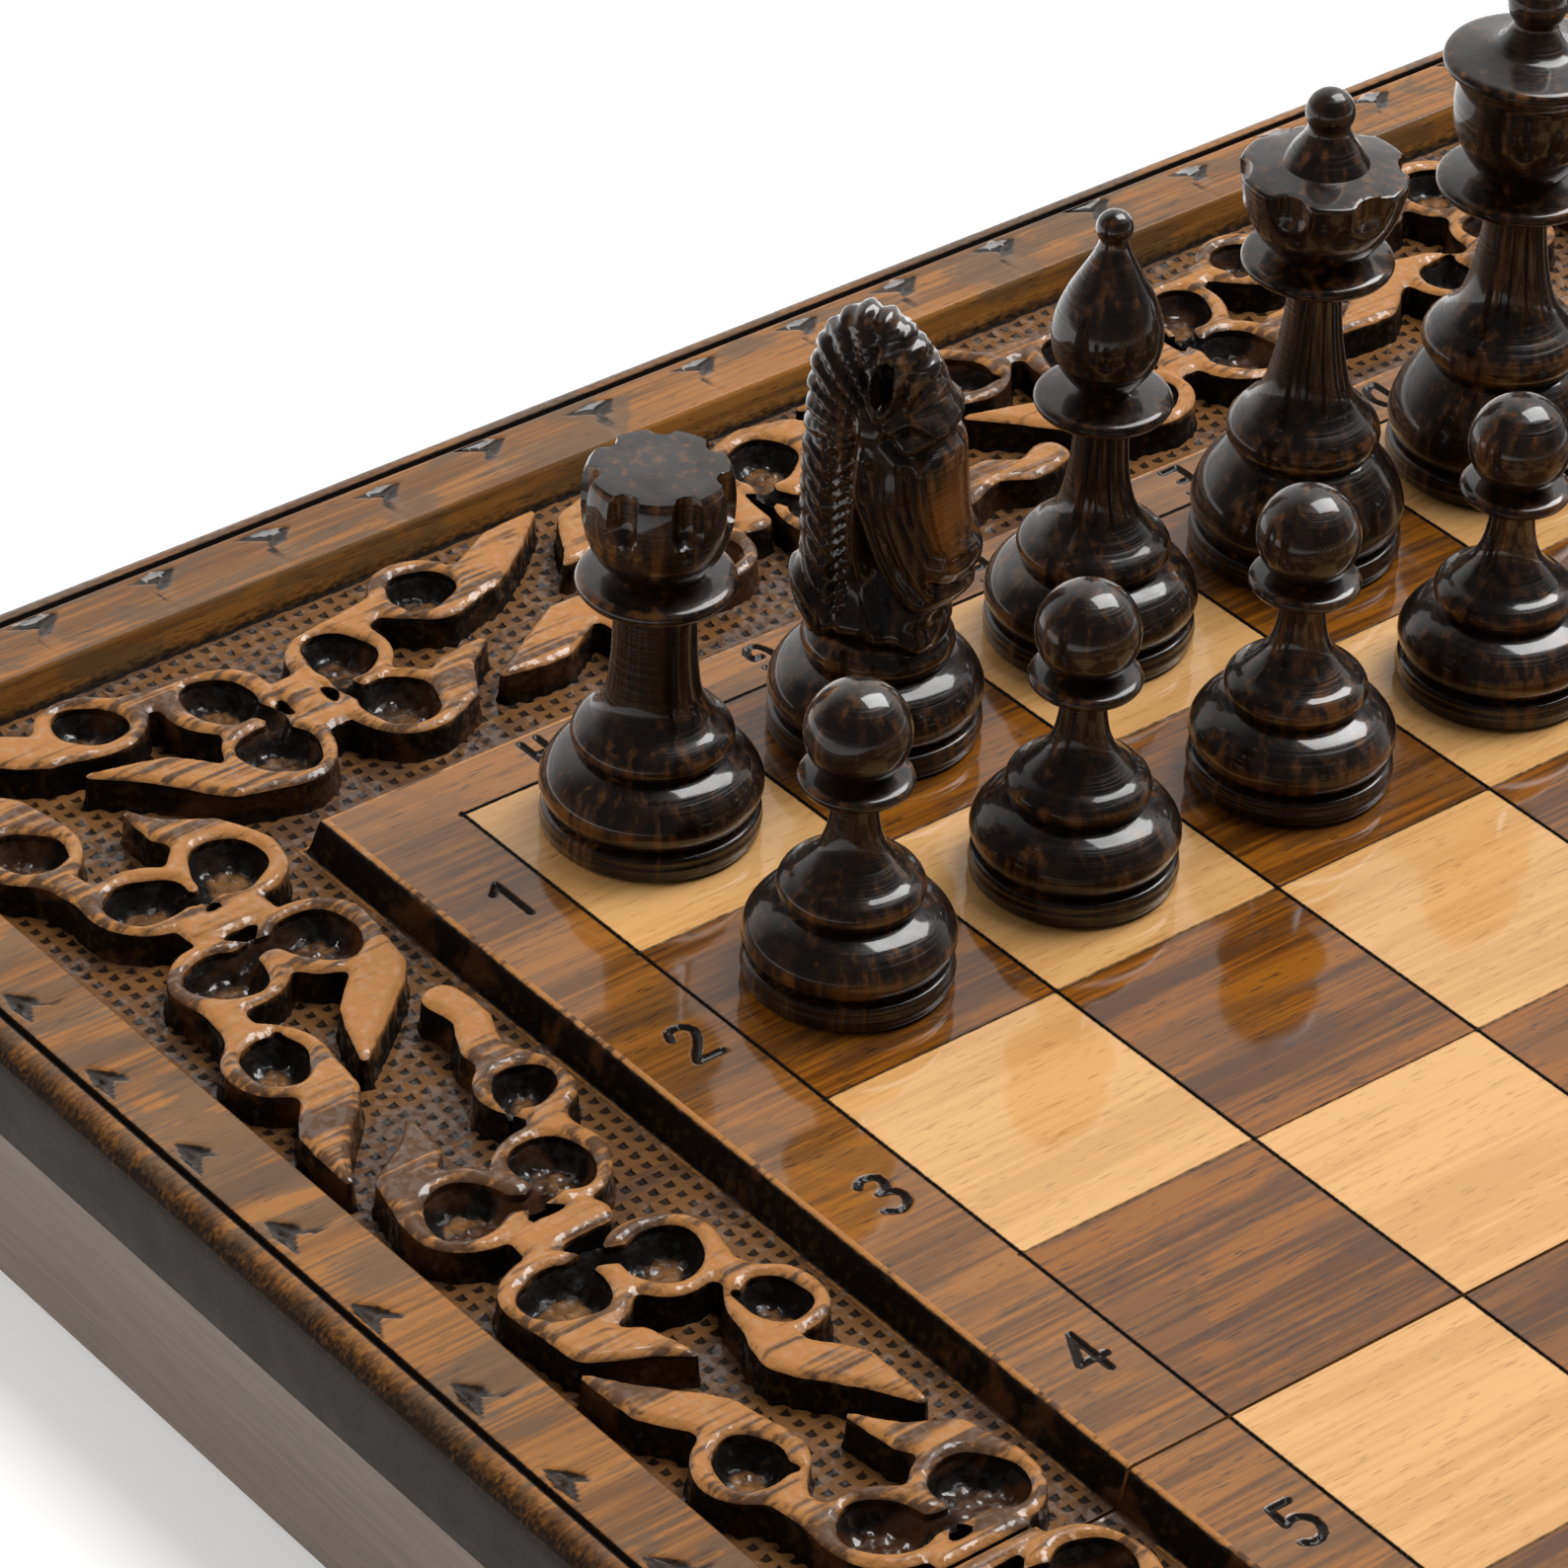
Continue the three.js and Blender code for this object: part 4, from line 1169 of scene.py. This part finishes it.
class Horse:
    """The knight's carved head: one outline, swelled to both sides and cut with its mane, jaw and eye."""

    OUTLINE = (
        (-11.4, 19.5), (-12.8, 23), (-14.8, 27), (-15.8, 30.4), (-13.6, 33), (-13.9, 46), (-13.7, 56),
        (-13.3, 63), (-12.9, 70), (-11.6, 75.2), (-9.6, 78.2), (-7.2, 80.6), (-4.4, 81.9), (-1.0, 81.4),
        (2.6, 79.2), (6.0, 76.0), (8.6, 72.2), (10.6, 68), (12.6, 64.4), (11.6, 61.6), (13.4, 58.4), (14.1, 52),
        (14.6, 46.5), (15.4, 42.8), (17.2, 39.8), (16.9, 37.2), (15.8, 35.2), (16.2, 33), (14.8, 30.6),
        (11.8, 27.8), (11.0, 26), (12.0, 22.6), (11.2, 19.5),
    )
    # Ridges (or, where negative, cuts): height, the points they pass, width, and whether the head hides them.
    RIDGES = (
        (-0.7, ((-7, 57), (-7.6, 44), (-6.6, 30), (-5, 22)), 0.7, False),
        (0.9, ((-1.6, 58), (-3.0, 47), (-2.0, 36), (1.4, 26), (3.0, 19)), 1.5, False),
        (1.0, ((6.4, 40), (8.6, 33.5), (10.5, 24)), 1.7, True),
        (1.0, ((2.8, 64.4), (6.2, 66.4), (10.2, 65.0), (12.0, 62.4)), 1.15, False),
        (-1.6, ((2.6, 62.2), (6.6, 59.2), (10.6, 61.4)), 1.0, False),
        (-0.9, ((4.6, 64.0), (6.8, 64.9), (9.4, 63.8)), 0.55, False),
        (1.0, ((8.8, 58), (11.0, 50), (12.6, 43)), 1.2, False),
        (-1.1, ((6.2, 57), (8.2, 48), (11.0, 41)), 1.2, False),
        (-0.7, ((1.2, 56), (1.8, 47), (5.2, 38), (9.6, 32.6)), 0.8, False),
        (0.8, ((13.2, 38.4), (13.9, 41.4), (16.2, 41.2)), 0.9, False),
        (-1.2, ((17.5, 35.0), (14.0, 34.4), (11.2, 35.4)), 0.7, False),
    )
    # Swellings (or hollows): height, middle, half-widths, and whether the head hides them.
    SWELLS = (
        (1.1, (3.6, 50), (5.2, 6.5), False),
        (1.7, (6.6, 62.2), (1.9, 1.4), False),
        (-1.5, (14.9, 39.4), (1.3, 1.0), False),
        (-2.2, (1.0, 37), (3.6, 10), True),
    )
    CELL = 0.55

    def __init__(self) -> None:
        """Draws the outline, with scallops along the crest and back of the mane."""
        line = spline(self.OUTLINE, 0.6)
        run = np.concatenate([[0], np.cumsum(np.linalg.norm(np.diff(line, axis=0), axis=1))])
        tangent = np.gradient(line, axis=0)
        out = np.stack([-tangent[:, 1], tangent[:, 0]], -1)
        out /= np.linalg.norm(out, axis=1)[:, None]
        mane = smooth(line[:, 1], 30, 34) * (1 - smooth(line[:, 0], 8.6, 10.6))
        line = line + out * (0.75 * np.abs(np.sin(math.pi * run / 3.9)) * mane)[:, None]
        self.line = np.vstack([line, line[:1]])

    def edge(self, at: np.ndarray) -> np.ndarray:
        """Distance to the outline, negative inside."""
        gap = stroke_distance(at, self.line)
        inside = np.zeros(len(at), bool)
        for (x0, y0), (x1, y1) in zip(self.line[:-1], self.line[1:]):
            if y0 != y1:
                crosses = (at[:, 1] > min(y0, y1)) & (at[:, 1] <= max(y0, y1))
                inside ^= crosses & (at[:, 0] < x0 + (at[:, 1] - y0) * (x1 - x0) / (y1 - y0))
        return np.where(inside, -gap, gap)

    @staticmethod
    def ridge(at: np.ndarray, stops: Sequence, wide: float) -> np.ndarray:
        """A rounded ridge, 1 on a curve through the stops and 0 a few widths away."""
        return np.exp(-((stroke_distance(at, spline(stops, 1.5)) / wide) ** 2))

    @staticmethod
    def swell(at: np.ndarray, middle: tuple[float, float], half: tuple[float, float]) -> np.ndarray:
        """A round swelling, 1 at its middle and 0 a few half-widths away."""
        return np.exp(-(((at - middle) / half) ** 2).sum(1))

    def half_thickness(self, at: np.ndarray, depth: np.ndarray) -> np.ndarray:
        """How far the surface stands from the middle plane.

        Args:
            at: places on the side view.
            depth: how far inside the outline each lies.

        Returns:
            The half thickness there.
        """
        x, z = at.T
        full = 7.4 + 3.2 * (1 - smooth(z, 20, 34)) - 2.6 * smooth(z, 62, 82)
        full -= 1.6 * smooth(x, 9, 16) * smooth(z, 24, 34) + 2.4 * (1 - smooth(x, -14, -5)) * smooth(z, 26, 40)
        swell = np.sqrt(np.clip(1 - (1 - np.clip(depth / 5.5, 0, 1)) ** 2, 0, 1))
        jaw = spline(((-3.2, 60), (-3.4, 52), (-1.8, 45), (0.4, 38.5), (4.0, 32.6), (8.4, 29.2), (13, 28)), 1.5)
        behind = stroke_distance(at, jaw)
        head_side = x - np.interp(z, jaw[::-1, 1], jaw[::-1, 0])
        head = smooth(head_side, -0.6, 0.8) * smooth(z, 27.5, 29.5) * (1 - smooth(z, 62, 68))
        out = full * swell + 1.5 * head * np.clip(depth / 2, 0, 1)
        out -= 2.3 * np.exp(-((behind + 0.8) / 1.4) ** 2) * (z > 27)
        spoke = np.degrees(np.arctan2(z - 61.5, x - 2.5)) % 360
        reach = np.hypot(x - 2.5, z - 61.5)
        crest = smooth(reach, 5.5, 8.5) * smooth(spoke, 48, 58) * (1 - smooth(spoke, 196, 208))
        out += crest * 1.15 * (np.abs(np.sin(np.radians(spoke) * 180 / 13.0)) - 0.55)
        out += crest * 0.12 * np.sin(reach * 4.2 + 0.9 * np.sin(spoke * 0.7))
        back = smooth(-x, 7.2, 8.6) * (1 - smooth(z, 56, 60)) * smooth(z, 22, 26)
        out += back * 1.05 * (np.abs(np.sin(math.pi * (z + 0.75 * x) / 3.7)) - 0.5)
        inner = smooth(-x, 3.4, 4.4) * (1 - smooth(-x, 6.6, 7.4)) * (1 - smooth(z, 55, 59)) * smooth(z, 24, 30)
        out += inner * 0.7 * (np.abs(np.sin(math.pi * (z - 0.9 * x) / 2.4)) - 0.5) - inner * 0.5
        for height, stops, wide, hidden in self.RIDGES:
            out += height * self.ridge(at, stops, wide) * (1 - head * hidden)
        for height, middle, half, hidden in self.SWELLS:
            out += height * self.swell(at, middle, half) * (1 - head * hidden)
        ear = ((x - 1.0) / 2.0) ** 2 + ((z - 71.6) / 4.8) ** 2
        out += 1.7 * np.exp(-((np.sqrt(ear) - 1.0) / 0.32) ** 2) - 2.8 * (ear < 0.8) * (1 - ear / 0.8)
        return np.maximum(out, 0.35)

    def skin(self) -> Skin:
        """Carves the head."""
        low, high = self.line.min(0) - 1, self.line.max(0) + 1
        points, triangles, rim = cut_sheet(self.edge, low, high, self.CELL)
        depth = np.maximum(0, -self.edge(points))
        out = self.half_thickness(points, depth)
        x, z = points.T
        worn = 0.92 * self.swell(points, (12.4, 48), (3.0, 10)) + 0.16 * smooth(x, 2, 5) - 0.08
        # Painted shade: a dark patch in the hollow of the neck behind the jaw, carried on the same mark as
        # scorching.
        neck = np.stack([x + 0.12 * (z - 36), z], -1)
        dark = 0.9 * self.swell(neck, (2.5, 35), (4.6, 13)) * (1 - smooth(x, 6, 9))
        skin = Skin()
        skin.add(np.column_stack([x, -out, z]), triangles, rub=worn, burn=dark)
        skin.add(np.column_stack([x, out, z]), triangles[:, ::-1], rub=worn, burn=dark)
        count = len(points)
        skin.faces += np.column_stack([rim[:, 1], rim[:, 0], rim[:, 0] + count, rim[:, 1] + count]).tolist()
        return skin


@dataclass
class Army:
    """One side's sixteen pieces, dressed in one finish."""

    name: str
    slot: str
    knight_turn: float
    head_turn: float

    def kinds(self) -> dict[str, PieceKind]:
        """The outline of each kind of piece."""
        pawn = (
            Turning.foot(17.4).flow((16.4, 5.8), (17.6, 8.2), (17.1, 10.6), (14.9, 13.4), (11.9, 15.0))
            .line(11.0, 15.3).flow((11.9, 16.2), (12.2, 17.8), (11.6, 19.4), (10.2, 20.6)).line(9.6, 20.8)
            .flow((8.2, 22.2), (6.0, 24.6), (4.7, 27.6), (4.0, 31.5), (3.75, 35.6))
            .flow((4.6, 36.4), (7.2, 36.9), (9.0, 37.5)).bow(9.0, 39.5).flow((7.0, 39.9), (5.2, 40.3))
            .line(4.5, 40.9).ball(47.3, 8.8, 22)
        )
        rook = (
            Turning.foot(18.5).flow((17.6, 5.9), (18.8, 8.4), (18.3, 10.8), (16.2, 13.8), (13.4, 15.6))
            .line(12.4, 15.9).flow((13.4, 16.8), (13.7, 18.4), (13.0, 20.0), (11.6, 21.4)).line(11.0, 21.7)
            .flow((9.6, 23.2), (8.2, 26), (7.5, 30), (7.1, 36), (7.0, 44.8))
            .flow((8.4, 45.8), (11, 46.4), (12.8, 47.0)).bow(12.8, 49.4).flow((10.4, 50.0), (8.2, 50.4))
            .line(7.4, 50.8)
            .flow((8.8, 52.0), (11.0, 55.2), (12.2, 59.2), (12.6, 63.2), (12.4, 67.0), (11.9, 69.0))
            .line(11.4, 69.6).line(10.2, 69.75).line(9.3, 69.75).line(9.1, 69.75).line(0.05, 69.75)
        )
        bishop = (
            Turning.foot(18.3).flow((17.4, 5.9), (18.6, 8.4), (18.1, 10.8), (16.0, 13.8), (13.2, 15.6))
            .line(12.2, 15.9).flow((13.1, 16.8), (13.4, 18.4), (12.7, 20.0), (11.2, 21.4)).line(10.6, 21.7)
            .flow((9.2, 23.2), (7.4, 25.4), (6.2, 28.6), (5.3, 33), (4.85, 39), (4.8, 44.2))
            .flow((6.6, 45.2), (9.4, 45.8), (11.4, 46.3)).bow(11.4, 48.5).flow((8.6, 49.1), (5.6, 49.6))
            .line(4.8, 50.2).flow((6.6, 52.2), (8.7, 55.6), (9.6, 59.4), (9.2, 63.6), (7.4, 68.4), (5.0, 72.8),
                                  (3.2, 76.2), (2.4, 78.6)).ball(81, 3.2, 12)
        )
        queen = (
            Turning.foot(18.7)
            .flow((17.8, 5.9), (18.9, 8.6), (18.4, 11.6), (17.0, 15), (14.4, 18.6), (12.9, 20.4))
            .line(12.2, 20.8).flow((13.2, 22.0), (13.6, 23.9), (13.0, 25.8), (11.4, 27.8)).line(10.8, 28.2)
            .flow((9.0, 30.4), (7.6, 33), (6.4, 38), (5.4, 44), (4.8, 50), (4.7, 54.6))
            .flow((7, 55.8), (10.6, 56.4), (12.8, 57)).bow(12.8, 59.2).flow((10, 59.8), (8, 60.2))
            .line(7.2, 60.8).flow((9.8, 62.4), (12.2, 65.8), (13.7, 69.6), (14.5, 73.2), (14.7, 75.2))
            .bow(14.1, 76.3).flow((11.0, 76.9), (7.6, 77.5))
            .flow((7.0, 78.6), (5.9, 80.4), (4.5, 82.3), (3.7, 83.8)).ball(87.2, 4.3, 12)
        )
        king = (
            Turning.foot(19.2)
            .flow((18.3, 5.9), (19.4, 8.8), (18.8, 12), (17.2, 15.6), (14.8, 19.2), (13.3, 20.9))
            .line(12.6, 21.3).flow((13.9, 22.8), (14.7, 25), (14.0, 27.2), (12.2, 29.2)).line(11.4, 29.7)
            .flow((9.4, 32), (8.0, 35), (6.8, 40), (5.8, 47), (5.3, 53.6))
            .flow((8, 54.8), (12, 55.5), (14.2, 56)).bow(14.2, 58.2).flow((11, 58.8), (8.6, 59.2))
            .line(7.6, 59.8).flow((9.8, 62.4), (12.2, 67.2), (12.9, 72), (12.7, 77.4))
            .flow((13.6, 79.2), (15.0, 80.4)).bow(15.0, 82.6).flow((11, 83.4), (7.8, 84.2)).line(6.4, 84.8)
            .flow((5.2, 86.4), (4.2, 88.2), (3.9, 89)).ball(93, 5.3, 14)
        )
        knight = (
            Turning.foot(18.3).flow((17.4, 5.9), (18.5, 8.4), (18.0, 10.8), (16.0, 13.8), (13.0, 15.6))
            .line(12.0, 15.9).flow((12.9, 16.8), (13.2, 18.4), (12.6, 20.0), (11.4, 21.6)).line(10.6, 22.0)
            .line(0.05, 22.0)
        )
        flutes = tuple(-15 + 360 * k / 7 for k in range(7))
        return {
            "pawn": PieceKind(pawn.outline()),
            "rook": PieceKind(rook.outline(), 140, flutes, 2.25, 11.9, 61.2),
            "bishop": PieceKind(bishop.outline()),
            "queen": PieceKind(queen.outline(), 120, (-67, -7, 56, -126, 174, 116), 4.9, 17.4, 69.5),
            "king": PieceKind(king.outline()),
            "knight": PieceKind(knight.outline()),
        }

    def build(self, finish: bpy.types.Material) -> None:
        """Turns, carves and seats every piece of this army where the frame has it."""
        kinds, head = self.kinds(), Horse().skin()
        for node in sorted(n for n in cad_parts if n.startswith(self.name + "_")):
            kind = node.split("_")[1]
            if kind not in kinds:
                continue
            low, high = (np.array(corner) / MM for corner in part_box(node))
            spot = np.array([*(low + high)[:2] / 2, low[2]])
            if kind == "knight":
                beside = {"g": ("rook_h", "bishop_f"), "b": ("rook_a", "bishop_c")}[node[-1]]
                corners = [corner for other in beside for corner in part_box(f"{self.name}_{other}")]
                spot[:2] = np.mean(corners, 0)[:2] / MM
            skin = kinds[kind].skin(self.head_turn)
            if kind == "knight":
                turn = math.radians(self.knight_turn)
                spin = np.array(Matrix.Rotation(turn, 3, "Z"))
                marks = {key: np.concatenate(parts) for key, parts in head.marks.items()}
                skin.add(np.vstack(head.points) @ spin.T, head.faces, **marks)
            skin.points = [p + spot for p in skin.points]
            seat(skin.build(node + "_turned", finish, 42), node, self.slot, node)


@dataclass
class Box:
    """The box's walls and hinges: the frame's own solids with eased edges and their finishes."""

    ease: float = 0.7

    def dress(self, wood: bpy.types.Material, brass: bpy.types.Material) -> None:
        """Eases every wall, and dresses every wall, hinge leaf, screw and pin."""
        for name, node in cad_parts.items():
            is_wall, is_brass = name.endswith("_wall"), "hinge" in name
            if not (is_wall or is_brass):
                continue
            node.data.materials.clear()
            node.data.materials.append(wood if is_wall else brass)
            if is_wall:
                bevel = node.modifiers.new("eased edges", "BEVEL")
                bevel.width, bevel.segments, bevel.limit_method = self.ease * MM, 2, "ANGLE"
                bevel.angle_limit = math.radians(40)
            LOG.info("%s keeps its solid, in %s", name, node.data.materials[0].name)


@dataclass
class Studio:
    """Camera, soft light, surroundings and floor."""

    eye: Vector = Vector((0.5822, -0.7714, 0.7399))
    right: Vector = Vector((0.6248, 0.7801, 0.0315))
    up: Vector = Vector((-0.4662, 0.3404, 0.8165))
    lens: float = 163.75
    sensor: float = 36.0
    clip: tuple[float, float] = (0.05, 60.0)
    key_from: Vector = Vector((-0.015, 0.463, 0.886))
    key_away: float = 1.8
    key_wide: float = 0.9
    key_long: float = 1.5
    key_power: float = 47.0
    fill_from: Vector = Vector((-0.50, -0.80, 0.33))
    fill_power: float = 24.0
    sky: float = 1.0
    dim: float = 0.09
    bright_side: tuple[float, float] = (-0.77, 0.64)
    bright_span: tuple[float, float] = (0.12, 0.70)
    daylight: tuple[float, float, float, float] = (1.0, 0.995, 0.985, 1.0)
    floor_half: float = 9000.0
    floor_glow: float = 0.2

    def softbox(self, name: str, toward: Vector, wide: float, long: float, power: float) -> bpy.types.Object:
        """Hangs one soft light that faces the board.

        Args:
            name: its name.
            toward: the direction that it comes from.
            wide: its width.
            long: its length.
            power: its power in watts.

        Returns:
            The light.
        """
        lamp = bpy.data.lights.new(name, "AREA")
        lamp.shape, lamp.size, lamp.size_y, lamp.energy = "RECTANGLE", wide, long, power
        made = bpy.data.objects.new(name, lamp)
        made.location = toward.normalized() * self.key_away
        made.rotation_mode = "QUATERNION"
        made.rotation_quaternion = toward.to_track_quat("Z", "Y")
        bpy.context.scene.collection.objects.link(made)
        return made

    def set_up(self) -> None:
        """Places the camera, the light, the surroundings and the floor."""
        scene = bpy.context.scene
        camera = bpy.data.objects.new("camera", bpy.data.cameras.new("camera"))
        camera.data.lens, camera.data.sensor_width = self.lens, self.sensor
        camera.data.clip_start, camera.data.clip_end = self.clip
        turned = Matrix((self.right, self.up, self.right.cross(self.up).normalized())).transposed()
        camera.matrix_world = Matrix.Translation(self.eye) @ turned.to_4x4()
        scene.collection.objects.link(camera)
        scene.camera = camera
        self.softbox("key", self.key_from, self.key_wide, self.key_long, self.key_power)
        fill = self.softbox("fill", self.fill_from, self.key_long, self.key_long, self.fill_power)
        fill.visible_glossy = False
        w = Graph("studio", world=True)
        side = w.axis(0) * self.bright_side[0] + w.axis(1) * self.bright_side[1]
        far = w.between(side, *self.bright_span, self.dim, self.sky)
        seen = w.add("LightPath", out="Is Camera Ray")
        shade = w.add("Background", None, {0: self.daylight, 1: far + seen * (self.sky - far)})
        output = w.tree.nodes.new("ShaderNodeOutputWorld")
        w.tree.links.new(shade.socket, output.inputs[0])
        scene.world = w.material
        scene.view_settings.view_transform = "Standard"
        floor = Skin()
        lines = np.linspace(-self.floor_half, self.floor_half, 7)
        points, faces = grid_patch(lines, lines)
        floor.add(points + (0, 0, CAD_BOX[0].z / MM), faces)
        g = Graph("pale_floor")
        shade = g.noise((6, 6, 6), 2.0)
        paint = g.finish(
            Base_Color=g.mix(shade, (0.92, 0.92, 0.915), (0.90, 0.90, 0.90)), Roughness=0.7,
            Emission_Color=self.daylight, Emission_Strength=self.floor_glow,
        )
        floor.build("studio_floor", paint, 38)


def main() -> None:
    """Builds the board, the box and both armies, then the studio round them."""
    logging.basicConfig(level=logging.INFO, format="%(message)s")
    lacquer = BoardFinish("lacquered_squares", mottle=0.35).material()
    carving = CarvingFinish("carved_scrolls").material()
    rim = BoardFinish("lacquered_rim", lacquer=0.7, lacquer_roughness=0.12, mottle=0.85).material()
    for side in (-1, 1):
        TopBoard(side).build(lacquer, carving, rim)
    Box().dress(WallFinish("stained_walls").material(), BrassFinish("dull_brass").material())
    dark = PieceFinish(
        "ebony_stain", (0.0042, 0.0020, 0.0014), (0.015, 0.0060, 0.0028), (0.16, 0.056, 0.010), 0.5, 0.3
    ).material()
    light = PieceFinish(
        "clear_varnish", (0.60, 0.36, 0.16), (0.50, 0.27, 0.10), (0.72, 0.48, 0.24), 0.5, 0.26
    ).material()
    Army("dark", "dark_piece", 33.0, 0.0).build(dark)
    Army("light", "light_piece", 147.0, 180.0).build(light)
    Studio().set_up()


if __name__ == "__main__":
    main()
